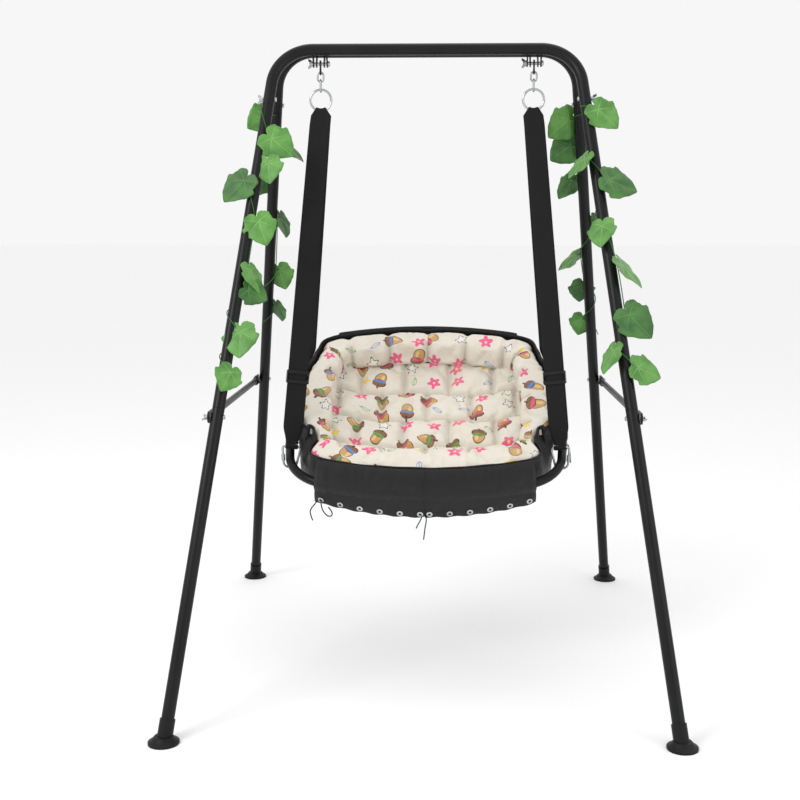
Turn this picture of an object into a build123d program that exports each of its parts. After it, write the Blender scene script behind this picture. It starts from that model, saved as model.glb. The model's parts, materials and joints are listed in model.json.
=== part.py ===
from build123d import *
import os
from math import atan2, ceil, cos, degrees, pi, radians, sin, sqrt, tan

# A baby swing: a padded nest seat in a round-cornered steel hoop, hung on webbing from a folding
# stand of two steel arches. Millimetres. +Z is up, the front faces -Y, and the origin is on the
# floor, midway between the four feet. "side" is -1 for the front arch and +1 for the rear one,
# "hand" is -1 for the left and +1 for the right, as seen from the front.

# ---- stand ----
stand_height = 1550.0          # floor to the top of the top bars
tube_od = 28.6                 # arch and leg tubes
tube_wall = 1.5
foot_half_width = 556.0        # where a leg's axis meets the floor, sideways
foot_half_depth = 617.0        # the same, front to back
bar_half_gap = 19.0            # each top bar's axis from the middle, front to back
corner_half_width = 370.0      # where a top bar's axis and a leg's axis would cross
bend_radius = 100.0            # of the arch's corner, on the axis
arch_arm = 152.0               # from that crossing down the leg to the first joint
lower_joint = 915.0            # from that crossing down the leg to the second joint
spigot_length = 45.0           # swaged end of the upper leg
spigot_gap = 0.25              # swaged end to the tube that it enters
swage_wall = 1.2
joint_line = 0.6               # gap that shows between two tubes at a joint

# ---- feet ----
foot_radius = 34.0
foot_edge = 5.0                # height of the disc's rim
foot_dome = 17.0               # height at which the dome meets the collar
collar_wall = 2.6
collar_top = 52.0              # up the leg from the floor
foot_floor = 6.0               # rubber under the tube's end
foot_gap = 0.15                # tube to the foot's bore

# ---- stand fasteners, along X ----
bolt_radius = 3.0
bolt_hole_gap = 0.3
bolt_head_radius = 5.5
bolt_head_height = 3.4
joint_bolt_above = 17.0        # joint bolt, up the leg from the first joint
brace_bolt_below = 20.0        # brace bolt, down the leg from the second joint
seat_gap = 0.15                # between a fastener and what it bears on
nut_hub_radius = 5.5
nut_hub_height = 7.0
nut_wing_span = 26.0
nut_wing_height = 12.0
nut_wing_thick = 2.6
bolt_tip = 2.0                 # thread that shows past a nut

# ---- braces ----
brace_od = 16.0
brace_wall = 1.2
brace_flat_thick = 4.4
brace_flat_height = 27.0
brace_flat_length = 44.0       # from the bolt to where the tube starts to flatten
brace_neck = 28.0              # length of the flattening
brace_play = 0.3               # between a brace and the pieces on each side of it
brace_hook_angle = 32.0        # hook's mouth, from straight down towards the front
brace_hook_gap = 0.6           # bolt to the hook's sides

# ---- hangers ----
hanger_half_spacing = 265.0
hanger_pivot_drop = 31.7       # from the top bars' axes down to the hanger bolts' axis
hanger_bolt_radius = 4.0
ear_thick = 3.0
ear_radius = 9.0
front_ear_offset = 17.0        # each side of the hanger's middle
rear_ear_offset = 9.5
weld_gap = 0.1
eye_thick = 4.0
eye_drop = 19.0                # bolt axis to the eye's lower hole
eye_radius = 8.0
eye_hole_gap = 0.4
chain_wire = 4.5
chain_inner_width = 10.0
upper_link_length = 23.0       # between wire centres
lower_link_length = 29.5
chain_play = 0.6
ring_wire = 6.0
ring_radius = 26.0             # to the wire's centre

# ---- webbing ----
webbing_width = 50.0
webbing_thick = 3.2            # two layers sewn together
saddle_thick = 2.2
saddle_gap = 1.2               # over the ring's wire, for the seat's rocking
saddle_half_angle = 33.0       # of the ring that the pinched webbing covers
saddle_depth = 19.0            # pinched webbing below the ring's wire
webbing_end_width = 31.0       # pinched again at the links
webbing_taper = 46.0
webbing_loop_gap = 0.4         # webbing to the link's bar
slider_from_ring = 668.0       # along the front webbing
slider_travel = 40.0           # each way
slider_side = 3.0              # slider past the webbing's edge, each side
slider_height = 32.0
slider_bar = 2.5
slider_play = 0.45

# ---- links at the hoop ----
link_wire = 5.5
link_top_half = 23.5           # to the wire's centre, at the bar that carries the webbing
link_foot_half = 14.8          # the same, under the hoop's tube
link_drop = 17.2               # wire centre under the hoop tube's axis
link_rise = 34.0               # bar that carries the webbing, above the hoop tube's axis
link_bar_corner = 6.0
link_foot_corner = 13.5
link_mouth = (19.0, 28.0)      # gap that the sleeve closes, up the side from the foot's corner
sleeve_radius = 4.6
sleeve_length = 16.0
sleeve_start = 15.5            # the same way up
sleeve_play = 0.25

# ---- seat ----
seat_tilt = 27.0               # the hoop's back is higher
hoop_height = 617.5            # of the hoop's middle
hoop_shift = 4.0               # of the hoop's middle, towards the rear, so that the seat hangs level
hoop_half_width = 346.0
hoop_half_depth = 310.0
hoop_side_bow = 1500.0         # radius of the gently bowed sides
hoop_end_bow = 950.0           # the same at the front and the back
hoop_corner = 122.0
hoop_od = 22.0
hoop_wall = 1.5
link_along = 188.0             # round the hoop, from the middle of a side to the webbing's hold
rim_front = 60.0               # shell's rim above the hoop's plane
rim_back = 90.0
shell_floor = 38.0             # shell's underside below that plane
shell_thick = 3.0
shell_inset = 21.0             # shell's wall inside the hoop's axis
apron_gap = 1.5                # hoop to the apron outside it
apron_thick = 3.0
apron_end_drop = 49.0          # apron's laced edge below the hoop's plane, at its ends
apron_middle_drop = 66.0       # the same at the middle of the front and the back
front_apron_half = 268.0
back_apron_half = 250.0
side_apron_half = 92.0
seam_gap = 0.5
cushion_gap = 1.0
cushion_top = 8.0              # seat pad above the hoop's plane
bolster_width = 84.0
bolster_below_rim = 3.0
cushion_round = 14.0
dent_gap = 2.5                 # cushion and shell to the webbing and link that pass through them
dent_top = 170.0

# ---- lacing ----
eyelet_outer = 7.5
eyelet_inner = 3.5
eyelet_thick = 1.2
eyelet_up = 12.0               # above the apron's laced edge
front_eyelets = 6              # on each half of the front apron
side_eyelets = 5
back_eyelets = 11
eyelet_edge = 16.0             # from an apron's end to its last eyelet
eyelet_seam = 11.0             # from the front seam to the eyelets beside it
lace_radius = 1.5
lace_floor_gap = 1.2           # lace under the shell's floor
lace_flat = 6.0                # half of the short run at each turn of the lacing
lace_bend = 7.5

# ---- ivy ----
ivy_wire = 2.4
ivy_wind = 19.0                # from the leg's axis to the wire's
ivy_bend = 36.0
ivy_step = 60.0                # most that the wire turns between two of its route's points, degrees
leaf_thick = 0.8
leaf_stalk = 9.0
stalk_foot = 3.0               # stalk past the wire's centre, towards the leg
stalk_radius = 0.9
leaf_lift = 12.0               # tip away from the leg, degrees

# ---- worked out ----
tube_radius = tube_od / 2
tube_bore = tube_radius - tube_wall
spigot_radius = tube_bore - spigot_gap
spigot_bore = spigot_radius - swage_wall
bar_height = stand_height - tube_radius
pivot_height = bar_height - hanger_pivot_drop
arch_shift = foot_half_depth - bar_half_gap
leg_length = sqrt((foot_half_width - corner_half_width) ** 2 + arch_shift ** 2 + bar_height ** 2)
bolt_distance = lower_joint + brace_bolt_below
clear_hole = bolt_radius + bolt_hole_gap
hands = {"left": -1, "right": 1}
arches = {"front": -1, "rear": 1}
parts = {}
cord_radii = {}


def put(name, shape):
    """Files a finished piece under its node name."""
    parts[name] = shape


def turned(*outline):
    """A solid of revolution about Z from (radius, height) corners."""
    return revolve(make_face(Plane.XZ * Polyline(*outline, close=True)), Axis.Z)


def upright(radius, low, high):
    """A cylinder on Z between two heights."""
    return Pos(0, 0, low) * Cylinder(radius, high - low, align=(Align.CENTER, Align.CENTER, Align.MIN))


def across(radius, x_low, x_high, y, z):
    """A cylinder along X."""
    return Pos(x_low, y, z) * Rot(0, 90, 0) * upright(radius, 0, x_high - x_low)


def block(x, y, z):
    """A box between pairs of limits."""
    size = [high - low for low, high in (x, y, z)]
    middle = [(high + low) / 2 for low, high in (x, y, z)]
    return Pos(*middle) * Box(*size)


def group(shapes):
    """Separate solids under one node."""
    solids = [solid for shape in shapes for solid in shape.solids()]
    return Compound(children=solids)


def mirrored(shape):
    return mirror(shape, Plane.YZ)


# ---- stand ----
def leg_direction(side, hand):
    run = Vector(hand * (foot_half_width - corner_half_width), side * arch_shift, -bar_height)
    return run.normalized()


def leg_point(side, hand, distance):
    """A point on a leg's axis, so far down from the arch's sharp corner."""
    corner = Vector(hand * corner_half_width, side * bar_half_gap, bar_height)
    return corner + leg_direction(side, hand) * distance


def leg_frame(side, hand, distance):
    """A frame on the leg's axis with Z towards the foot."""
    return Plane(origin=leg_point(side, hand, distance), x_dir=(1, 0, 0), z_dir=leg_direction(side, hand))


def wing_nut():
    """Hub and two swept wings, seated on Z = 0."""
    hub = upright(nut_hub_radius, 0, nut_hub_height)
    wing_reach = nut_wing_span / 2
    outline = make_face(Plane.XZ * Polyline((nut_hub_radius - 2, 0.8), (wing_reach - 3, 5.0),
                        (wing_reach, nut_wing_height), (wing_reach - 6, nut_wing_height),
                        (nut_hub_radius - 2, nut_hub_height - 0.5), close=True))
    wing = extrude(outline, nut_wing_thick / 2, both=True)
    nut = hub + wing + Rot(0, 0, 180) * wing
    return nut - upright(bolt_radius + 0.1, -1, nut_wing_height + 1)


def pan_head(shank_radius, head_radius, head_height, length):
    """A bolt whose head sits below Z = 0 and whose shank rises from it."""
    head = upright(head_radius, -head_height, 0)
    head = fillet(head.edges().sort_by(Axis.Z)[0], head_height * 0.6)
    return head + upright(shank_radius, -0.5, length)


def along_x(hand, x, y, z, turn=0):
    """A location whose Z points outwards along X."""
    return Pos(x, y, z) * Rot(0, 90 * hand, 0) * Rot(0, 0, turn)


def leg_half_chord(side, hand):
    """From a leg's axis to its surface, measured along X."""
    lean = abs(leg_direction(side, hand).X)
    return tube_radius / sqrt(1 - lean ** 2)


def bolt_stand_off(radius):
    """Extra room that a flat face of this radius needs beside a leaning leg."""
    lean = (foot_half_width - corner_half_width) / leg_length
    return radius * lean / sqrt(1 - lean ** 2)


brace_bolt_x = corner_half_width + (foot_half_width - corner_half_width) * bolt_distance / leg_length
leg_face = tube_radius / sqrt(1 - ((foot_half_width - corner_half_width) / leg_length) ** 2)
brace_inner_x = brace_bolt_x + leg_face + bolt_stand_off(brace_flat_height / 2) + brace_play
brace_mid_x = brace_inner_x + brace_flat_thick / 2
brace_outer_x = brace_inner_x + brace_flat_thick
brace_y = abs(leg_point(1, 1, bolt_distance).Y)
brace_z = leg_point(1, 1, bolt_distance).Z


def make_arch(side):
    """Top bar, two bends and the short arms that take the legs."""
    ends = [leg_point(side, hand, arch_arm - joint_line) for hand in (-1, 1)]
    corners = [leg_point(side, hand, 0) for hand in (-1, 1)]
    route = FilletPolyline(ends[0], corners[0], corners[1], ends[1], radius=bend_radius)
    start = Plane(origin=route @ 0, z_dir=route % 0)
    arch = sweep(start * (Circle(tube_radius) - Circle(tube_bore)), path=route)
    for hand in (-1, 1):
        at = leg_point(side, hand, arch_arm - joint_bolt_above)
        arch = arch - across(clear_hole, at.X - 30, at.X + 30, at.Y, at.Z)
    return arch


def make_ears(side):
    """Flat ears welded under a top bar, a pair at each hanger."""
    offset = front_ear_offset if side < 0 else rear_ear_offset
    bar_y = side * bar_half_gap
    web = Polyline((side * ear_radius, pivot_height), (side * 29, bar_height - 3),
                   (side * 9, bar_height + 5), (-side * ear_radius, pivot_height), close=True)
    plate = make_face(Plane.YZ * web) + Plane.YZ * Pos(0, pivot_height) * Circle(ear_radius)
    plate = extrude(plate, ear_thick / 2, both=True, dir=(1, 0, 0))
    plate = plate - across(tube_radius + weld_gap, -20, 20, bar_y, bar_height)
    plate = plate - across(hanger_bolt_radius + eye_hole_gap, -20, 20, 0, pivot_height)
    plate = plate.solids().sort_by(SortBy.VOLUME)[-1]
    spots = [hand * hanger_half_spacing + step for hand in (-1, 1) for step in (-offset, offset)]
    return group([Pos(x, 0, 0) * plate for x in spots])


def make_upper_leg(side, hand):
    """Tube with a swaged end at the arch and another at the lower leg."""
    run = lower_joint - arch_arm - joint_line
    leg = turned((spigot_bore, -spigot_length), (spigot_radius, -spigot_length), (spigot_radius, 0),
                 (tube_radius, 0), (tube_radius, run), (spigot_radius, run),
                 (spigot_radius, run + spigot_length), (spigot_bore, run + spigot_length),
                 (spigot_bore, run - tube_wall), (tube_bore, run - tube_wall), (tube_bore, tube_wall),
                 (spigot_bore, tube_wall))
    leg = leg_frame(side, hand, arch_arm) * leg
    for distance in (arch_arm - joint_bolt_above, bolt_distance):
        at = leg_point(side, hand, distance)
        leg = leg - across(clear_hole, at.X - 30, at.X + 30, at.Y, at.Z)
    return leg


def tube_end(side, hand):
    """Distance down the leg at which its tube stops inside the foot."""
    slope = abs(leg_direction(side, hand).Z)
    return leg_length - (foot_floor + tube_radius * sqrt(1 - slope ** 2)) / slope


def make_lower_leg(side, hand):
    length = tube_end(side, hand) - lower_joint
    leg = upright(tube_radius, 0, length) - upright(tube_bore, -1, length + 1)
    leg = leg_frame(side, hand, lower_joint) * leg
    at = leg_point(side, hand, bolt_distance)
    return leg - across(clear_hole, at.X - 30, at.X + 30, at.Y, at.Z)


def make_foot(side, hand):
    """Rubber foot: a level disc with a domed top and a collar that follows the leg."""
    collar_radius = tube_radius + collar_wall
    at = leg_point(side, hand, leg_length)
    disc = turned((0, 0), (foot_radius, 0), (foot_radius, foot_edge), (foot_radius - 7, foot_edge + 4.5),
                  (collar_radius + 3, foot_dome), (0, foot_dome))
    collar = leg_frame(side, hand, leg_length) * upright(collar_radius, -collar_top, 20)
    foot = Pos(at.X, at.Y, 0) * disc + collar
    foot = foot - Pos(at.X, at.Y, -50) * Box(200, 200, 100)
    stop = tube_end(side, hand) + foot_gap - leg_length
    bore = leg_frame(side, hand, leg_length) * upright(tube_radius + foot_gap, -collar_top - 10, stop)
    return foot - bore


def make_stand_bolts(side):
    """Joint bolts and brace bolts of one arch, heads inside the legs."""
    bolts = []
    half = leg_half_chord(side, 1) + bolt_stand_off(bolt_head_radius) + seat_gap
    brace_seat = brace_outer_x - brace_bolt_x + brace_play
    outer_seats = {arch_arm - joint_bolt_above: half, bolt_distance: brace_seat}
    for hand in (-1, 1):
        for distance, seat in outer_seats.items():
            at = leg_point(side, hand, distance)
            length = half + seat + nut_hub_height + bolt_tip
            bolt = pan_head(bolt_radius, bolt_head_radius, bolt_head_height, length)
            bolts.append(along_x(hand, at.X - hand * half, at.Y, at.Z) * bolt)
    return group(bolts)


def make_stand_nuts(side):
    """Wing nuts on the outer ends of those bolts, each turned its own way."""
    nuts = []
    half = leg_half_chord(side, 1) + bolt_stand_off(nut_hub_radius) + seat_gap
    for hand in (-1, 1):
        at = leg_point(side, hand, arch_arm - joint_bolt_above)
        nuts.append(along_x(hand, at.X + hand * half, at.Y, at.Z, 25) * wing_nut())
        at = leg_point(side, hand, bolt_distance)
        outside = hand * (brace_outer_x + brace_play)
        nuts.append(along_x(hand, outside, at.Y, at.Z, 70) * wing_nut())
    return group(nuts)


def make_brace(hand):
    """Tube with flattened ends: an eye at the front bolt and a hook over the rear one."""
    reach = brace_y - brace_flat_length
    tube = Plane(origin=(0, -reach + brace_neck, 0), z_dir=(0, 1, 0)) * (
        upright(brace_od / 2, 0, 2 * (reach - brace_neck)) - upright(brace_od / 2 - brace_wall, 2,
                                                                   2 * (reach - brace_neck) - 2))
    flat_end = Plane(origin=(0, reach, 0), x_dir=(1, 0, 0), z_dir=(0, 1, 0))
    round_end = Plane(origin=(0, reach - brace_neck, 0), x_dir=(1, 0, 0), z_dir=(0, 1, 0))
    neck = loft([flat_end * Rectangle(brace_flat_thick, brace_flat_height - 2),
                 round_end * Rectangle(brace_od * 0.7, brace_od * 0.7)])
    outline = Plane.YZ * (Pos(brace_y, 0) * Circle(brace_flat_height / 2)
                          + Pos((brace_y + reach) / 2, 0) * Rectangle(brace_flat_length, brace_flat_height))
    flat = extrude(outline, brace_flat_thick / 2, both=True, dir=(1, 0, 0))
    rear_end = neck + flat
    brace = tube + rear_end + Rot(0, 0, 180) * rear_end
    brace = brace - across(clear_hole, -10, 10, -brace_y, 0)
    mouth = Rot(-brace_hook_angle, 0, 0) * block((-10, 10), (-clear_hole - brace_hook_gap,
                                                  clear_hole + brace_hook_gap), (-30, 0))
    mouth = mouth + across(clear_hole + brace_hook_gap, -10, 10, 0, 0)
    brace = brace - Pos(0, brace_y, 0) * mouth
    return Pos(hand * brace_mid_x, 0, brace_z) * brace


def make_hanger_bolts():
    """The two bolts that hinge the arches together and carry the chains, heads on the right."""
    half = front_ear_offset + ear_thick / 2 + seat_gap
    bolt = pan_head(hanger_bolt_radius, 7.0, 5.0, 2 * half + nut_hub_height + bolt_tip)
    return group([along_x(-1, hand * hanger_half_spacing + half, 0, pivot_height) * bolt for hand in (-1, 1)])


def make_hanger_nuts():
    half = front_ear_offset + ear_thick / 2 + seat_gap
    nut = wing_nut() + upright(nut_hub_radius + 1.5, 0, 3)
    nut = nut - upright(hanger_bolt_radius + 0.1, -1, nut_wing_height + 1)
    return group([along_x(-1, hand * hanger_half_spacing - half, 0, pivot_height, 15) * nut
                  for hand in (-1, 1)])


# ---- hangers ----
eye_low = pivot_height - eye_drop
upper_link_top = eye_low - (eye_radius - 3.6) + chain_wire / 2 + chain_play
upper_link_bottom = upper_link_top - upper_link_length
lower_link_top = upper_link_bottom + chain_wire + chain_play
lower_link_bottom = lower_link_top - lower_link_length
ring_top = lower_link_bottom + (ring_wire + chain_wire) / 2 + chain_play
ring_middle = ring_top - ring_radius
ring_bottom = ring_middle - ring_radius


def make_eye(hand):
    """Flat eye that hangs on the bolt."""
    hole = eye_radius - 3.6
    outline = Plane.YZ * (Pos(0, pivot_height) * Circle(eye_radius + 1)
                          + Pos(0, eye_low) * Circle(eye_radius)
                          + Pos(0, (pivot_height + eye_low) / 2) * Rectangle(11, eye_drop))
    eye = extrude(outline, eye_thick / 2, both=True, dir=(1, 0, 0))
    eye = eye - across(hanger_bolt_radius + eye_hole_gap, -10, 10, 0, pivot_height)
    eye = eye - across(hole, -10, 10, 0, eye_low)
    return Pos(hand * hanger_half_spacing, 0, 0) * eye


def stadium_link(top, bottom, flat_to_front):
    """A welded link: two straight runs and two half rings."""
    half = (chain_inner_width + chain_wire) / 2
    radius = chain_wire / 2
    upper = top - half
    lower = bottom + half
    runs = [Pos(step * half, 0, 0) * upright(radius, lower, upper) for step in (-1, 1)]
    ring = Rot(90, 0, 0) * Torus(half, radius)
    cut = block((-30, 30), (-30, 30), (0, 60))
    arcs = [Pos(0, 0, upper) * (ring & cut), Pos(0, 0, lower) * (ring & Rot(180, 0, 0) * cut)]
    link = runs[0] + runs[1] + arcs[0] + arcs[1]
    return link if flat_to_front else Rot(0, 0, 90) * link


def make_chain(hand):
    upper = stadium_link(upper_link_top, upper_link_bottom, True)
    lower = stadium_link(lower_link_top, lower_link_bottom, False)
    return group([Pos(hand * hanger_half_spacing, 0, 0) * link for link in (upper, lower)])


def make_ring(hand):
    return Pos(hand * hanger_half_spacing, 0, ring_middle) * Rot(90, 0, 0) * Torus(ring_radius, ring_wire / 2)


# ---- seat frame of reference ----
seat_plane = Plane(origin=(0, hoop_shift, hoop_height), x_dir=(1, 0, 0),
                   z_dir=(0, -sin(radians(seat_tilt)), cos(radians(seat_tilt))))


def seat_point(u, v, w):
    """World position of a point given across, along and above the hoop's plane."""
    return seat_plane.from_local_coords(Vector(u, v, w))


def hoop_arcs():
    """The hoop's right half as arcs (middle, radius, bearing at its start and at its end), from the
    middle of the back to the middle of the front; bearings are clockwise from the back."""
    side_middle = Vector(hoop_half_width - hoop_side_bow, 0)
    end_middle = Vector(0, hoop_half_depth - hoop_end_bow)
    side_reach = hoop_side_bow - hoop_corner
    end_reach = hoop_end_bow - hoop_corner
    between = end_middle - side_middle
    along = (side_reach ** 2 - end_reach ** 2 + between.length ** 2) / (2 * between.length)
    beside = sqrt(side_reach ** 2 - along ** 2)
    unit = between.normalized()
    corner_middle = side_middle + unit * along + Vector(-unit.Y, unit.X) * beside
    first = corner_middle - end_middle
    second = corner_middle - side_middle
    one = atan2(first.X, first.Y)
    two = atan2(second.X, second.Y)
    front_corner = Vector(corner_middle.X, -corner_middle.Y)
    return [(end_middle, hoop_end_bow, 0, one), (corner_middle, hoop_corner, one, two),
            (side_middle, hoop_side_bow, two, pi - two), (front_corner, hoop_corner, pi - two, pi - one),
            (end_middle * -1, hoop_end_bow, pi - one, pi)]


def half_round():
    """Length of the hoop's axis from the middle of the back to the middle of the front."""
    return sum(radius * (end - start) for _, radius, start, end in hoop_arcs())


def hoop_walk(distance):
    """Point and outward direction on the hoop's axis, so far clockwise from the middle of the back."""
    whole = half_round()
    rest = distance % (2 * whole)
    flip = 1
    if rest > whole:
        rest = 2 * whole - rest
        flip = -1
    for middle, radius, start, end in hoop_arcs():
        if rest <= radius * (end - start) + 1e-6:
            break
        rest -= radius * (end - start)
    bearing = start + rest / radius
    out = Vector(sin(bearing), cos(bearing))
    point = middle + out * radius
    return Vector(flip * point.X, point.Y), Vector(flip * out.X, out.Y)


def hoop_outline(offset):
    """Face inside the hoop's outline, moved outwards."""
    right = []
    for middle, radius, start, end in hoop_arcs():
        spots = [middle + Vector(sin(b), cos(b)) * (radius + offset) for b in (start, (start + end) / 2, end)]
        right.append(ThreePointArc(*spots))
    left = [mirror(arc, Plane.YZ) for arc in right]
    return make_face(right + left)


def band(inner, outer, low, high):
    """A wall that follows the hoop, in the seat's own frame."""
    return Pos(0, 0, low) * extrude(hoop_outline(outer) - hoop_outline(inner), high - low)


def under_rim(depth):
    """All the space further than this below the shell's slanting rim, in the seat's own frame."""
    slant = degrees(atan2(rim_back - rim_front, 2 * (hoop_half_depth - shell_inset)))
    return Pos(0, 0, (rim_front + rim_back) / 2) * Rot(slant, 0, 0) * Pos(0, 0, -depth - 500) * Box(
        1200, 1200, 1000)


def make_hoop():
    path = Wire(hoop_outline(0).face().outer_wire().edges())
    start = Plane(origin=path @ 0, z_dir=path % 0)
    outer = sweep(start * Circle(hoop_od / 2), path=path)
    inner = sweep(start * Circle(hoop_od / 2 - hoop_wall), path=path)
    return seat_plane * (outer - inner)


# ---- webbing ----
class Run:
    """One straight run of webbing from the right-hand ring to the hoop, with its own axes."""

    def __init__(self, side):
        spot, out = hoop_walk(half_round() / 2 - side * link_along)
        aside = ring_wire / 2 + saddle_gap + saddle_thick / 2
        self.ring = Vector(hanger_half_spacing, side * aside, ring_bottom)
        self.hoop = seat_point(spot.X, spot.Y, 0)
        tube = (seat_point(spot.X - out.Y, spot.Y + out.X, 0) - self.hoop).normalized()
        self.up = (self.ring - self.hoop).normalized()
        normal = (tube - self.up * tube.dot(self.up)).normalized()
        self.width = normal.cross(self.up).normalized()
        if self.width.X < 0:
            self.width = self.width * -1
        self.top_width = (Vector(1, 0, 0) - self.up * self.up.X).normalized()
        self.length = (self.ring - self.hoop).length

    def plane(self, height, share=0.0):
        """A cross-section, so far up from the hoop; share 0 faces as the link does, 1 as the ring."""
        width = (self.width * (1 - share) + self.top_width * share).normalized()
        return Plane(origin=self.hoop + self.up * height, x_dir=width, z_dir=self.up)

    def frame(self):
        """A frame at the hoop with X across the webbing and Y up it."""
        return Plane(origin=self.hoop, x_dir=self.width, z_dir=self.width.cross(self.up))


front_run = Run(-1)
rear_run = Run(1)


def make_saddle():
    """The pinched webbing over the ring's wire, turned about the ring's own axis."""
    inner = ring_wire / 2 + saddle_gap
    outer = inner + saddle_thick
    shape = (Circle(outer) - Circle(inner)) & Pos(0, outer) * Rectangle(4 * outer, 2 * outer)
    for run, sign in ((front_run, -1), (rear_run, 1)):
        lean = degrees(atan2(abs(run.up.Y), run.up.Z))
        middle = (inner + outer) / 2
        leg = Pos(sign * middle, 0) * Rot(0, 0, sign * lean) * Pos(0, -saddle_depth / 2) * Rectangle(
            saddle_thick, saddle_depth)
        shape = shape + leg
    profile = Plane(origin=(0, 0, -ring_radius), x_dir=(0, 1, 0), z_dir=(1, 0, 0)) * shape
    fan = revolve(profile, Axis.Y, revolution_arc=2 * saddle_half_angle)
    fan = Rot(0, -saddle_half_angle, 0) * fan
    return Pos(hanger_half_spacing, 0, ring_middle) * fan


def webbing_run(run, straight_top):
    """A run of webbing: flat from the ring, then turned to face the link and pinched on to it."""
    loop_middle = link_rise
    bore = link_wire / 2 + webbing_loop_gap
    flat_low = loop_middle + bore + webbing_thick
    flat_start = flat_low + webbing_taper
    top = run.length - saddle_depth + 8
    levels = [(flat_low - 1, webbing_end_width, 0), (flat_start, webbing_width, 0),
              (straight_top, webbing_width, 0)]
    steps = 4
    for step in range(1, steps + 1):
        share = step / steps
        levels.append((straight_top + (top - straight_top) * share, webbing_width, share))
    sections = []
    for height, width, share in levels:
        sections.append(run.plane(height, share) * Rectangle(width, webbing_thick))
    ribbon = loft(sections, ruled=True)
    loop = Circle(bore + webbing_thick) - Circle(bore)
    side = Plane(origin=run.hoop + run.up * loop_middle, x_dir=run.up, z_dir=run.width)
    loop = extrude(side * loop, webbing_end_width / 2, both=True)
    slot = extrude(side * Circle(bore), webbing_end_width, both=True)
    return (ribbon + loop) - slot


def make_strap(hand):
    """One length of webbing through the ring: a front run and a rear run."""
    low_slider = front_run.length - slider_from_ring
    front = webbing_run(front_run, low_slider + slider_travel + slider_height)
    rear = webbing_run(rear_run, link_rise + webbing_taper + 60)
    strap = make_saddle() + front + rear
    return strap if hand > 0 else mirrored(strap)


def make_slider(hand):
    """Three-bar slider: two bars in front of the webbing and one behind it."""
    half = webbing_thick / 2 + slider_play
    post_in = webbing_width / 2 + slider_play
    wide = webbing_width / 2 + slider_side
    tall = slider_height / 2
    deep = half + slider_bar
    posts = [block(sorted((side * post_in, side * wide)), (-tall, tall), (-deep, deep)) for side in (-1, 1)]
    bars = [block((-wide, wide), span, (half, deep)) for span in ((-tall, -tall + 8), (tall - 8, tall))]
    back = block((-wide, wide), (-5, 5), (-deep, -half))
    slider = posts[0] + posts[1] + bars[0] + bars[1] + back
    slider = fillet(slider.edges().filter_by(Axis.Z).group_by(Axis.X)[0], 2.0)
    slider = fillet(slider.edges().filter_by(Axis.Z).group_by(Axis.X)[-1], 2.0)
    height = front_run.length - slider_from_ring
    frame = front_run.plane(height)
    toward_front = frame.y_dir.Y < 0
    at = Plane(origin=frame.origin, x_dir=frame.x_dir, z_dir=frame.y_dir if toward_front else -frame.y_dir)
    if at.y_dir.Z < 0:
        at = Plane(origin=frame.origin, x_dir=-frame.x_dir, z_dir=at.z_dir)
    slider = at * slider
    return slider if hand > 0 else mirrored(slider)


# ---- links ----
def link_side(run, distance):
    """A point on the outer side of a link, so far up from its foot's corner."""
    foot = Vector(link_foot_half, -link_drop)
    side = (Vector(link_top_half, link_rise) - foot).normalized()
    spot = foot + side * distance
    return run.hoop + run.width * spot.X + run.up * spot.Y


def make_link(run, hand):
    """Screw link with a wide bar for the webbing and a foot round the hoop's tube."""
    def at(across_part, up_part):
        return run.hoop + run.width * across_part + run.up * up_part

    route = FilletPolyline(link_side(run, link_mouth[1]), at(link_top_half, link_rise),
                           at(-link_top_half, link_rise), at(-link_foot_half, -link_drop),
                           at(link_foot_half, -link_drop), link_side(run, link_mouth[0]),
                           radius=[link_bar_corner, link_bar_corner, link_foot_corner, link_foot_corner])
    start = Plane(origin=route @ 0, z_dir=route % 0)
    link = sweep(start * Circle(link_wire / 2), path=route)
    return link if hand > 0 else mirrored(link)


def make_sleeve(run, hand):
    """Threaded sleeve on the link's outer side."""
    sleeve = turned((link_wire / 2 + sleeve_play, 0), (sleeve_radius, 0), (sleeve_radius, sleeve_length),
                    (link_wire / 2 + sleeve_play, sleeve_length))
    low = link_side(run, sleeve_start)
    sleeve = Plane(origin=low, z_dir=link_side(run, sleeve_start + 1) - low) * sleeve
    return sleeve if hand > 0 else mirrored(sleeve)


# ---- shell and cushion ----
apron_inner = hoop_od / 2 + apron_gap
apron_outer = apron_inner + apron_thick


def make_dents():
    """Room for the webbing and links where they pass the shell and the cushion."""
    dents = []
    half = max(webbing_width / 2, link_top_half + link_wire / 2) + dent_gap
    thick = link_wire / 2 + webbing_loop_gap + webbing_thick + dent_gap
    low = -link_drop - link_wire / 2 - dent_gap
    for run in (front_run, rear_run):
        dent = run.frame() * block((-half, half), (low, dent_top), (-thick, thick))
        dents.extend([dent, mirrored(dent)])
    return dents


dents = make_dents()


def dented(shape):
    """The shape in the world, less the room for the webbing and links."""
    shape = seat_plane * shape
    for dent in dents:
        shape = shape - dent
    return shape


def make_shell():
    """Padded tray that hangs in the hoop."""
    tall = shell_floor + rim_back + 20
    outer = Pos(0, 0, -shell_floor) * extrude(hoop_outline(-shell_inset), tall)
    inner = Pos(0, 0, -shell_floor + shell_thick) * extrude(hoop_outline(-shell_inset - shell_thick), tall)
    return dented((outer & under_rim(0)) - inner)


def apron_edge(u):
    """Height of the front and back aprons' laced edge."""
    return -apron_middle_drop + (apron_middle_drop - apron_end_drop) * (u / front_apron_half) ** 2


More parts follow.
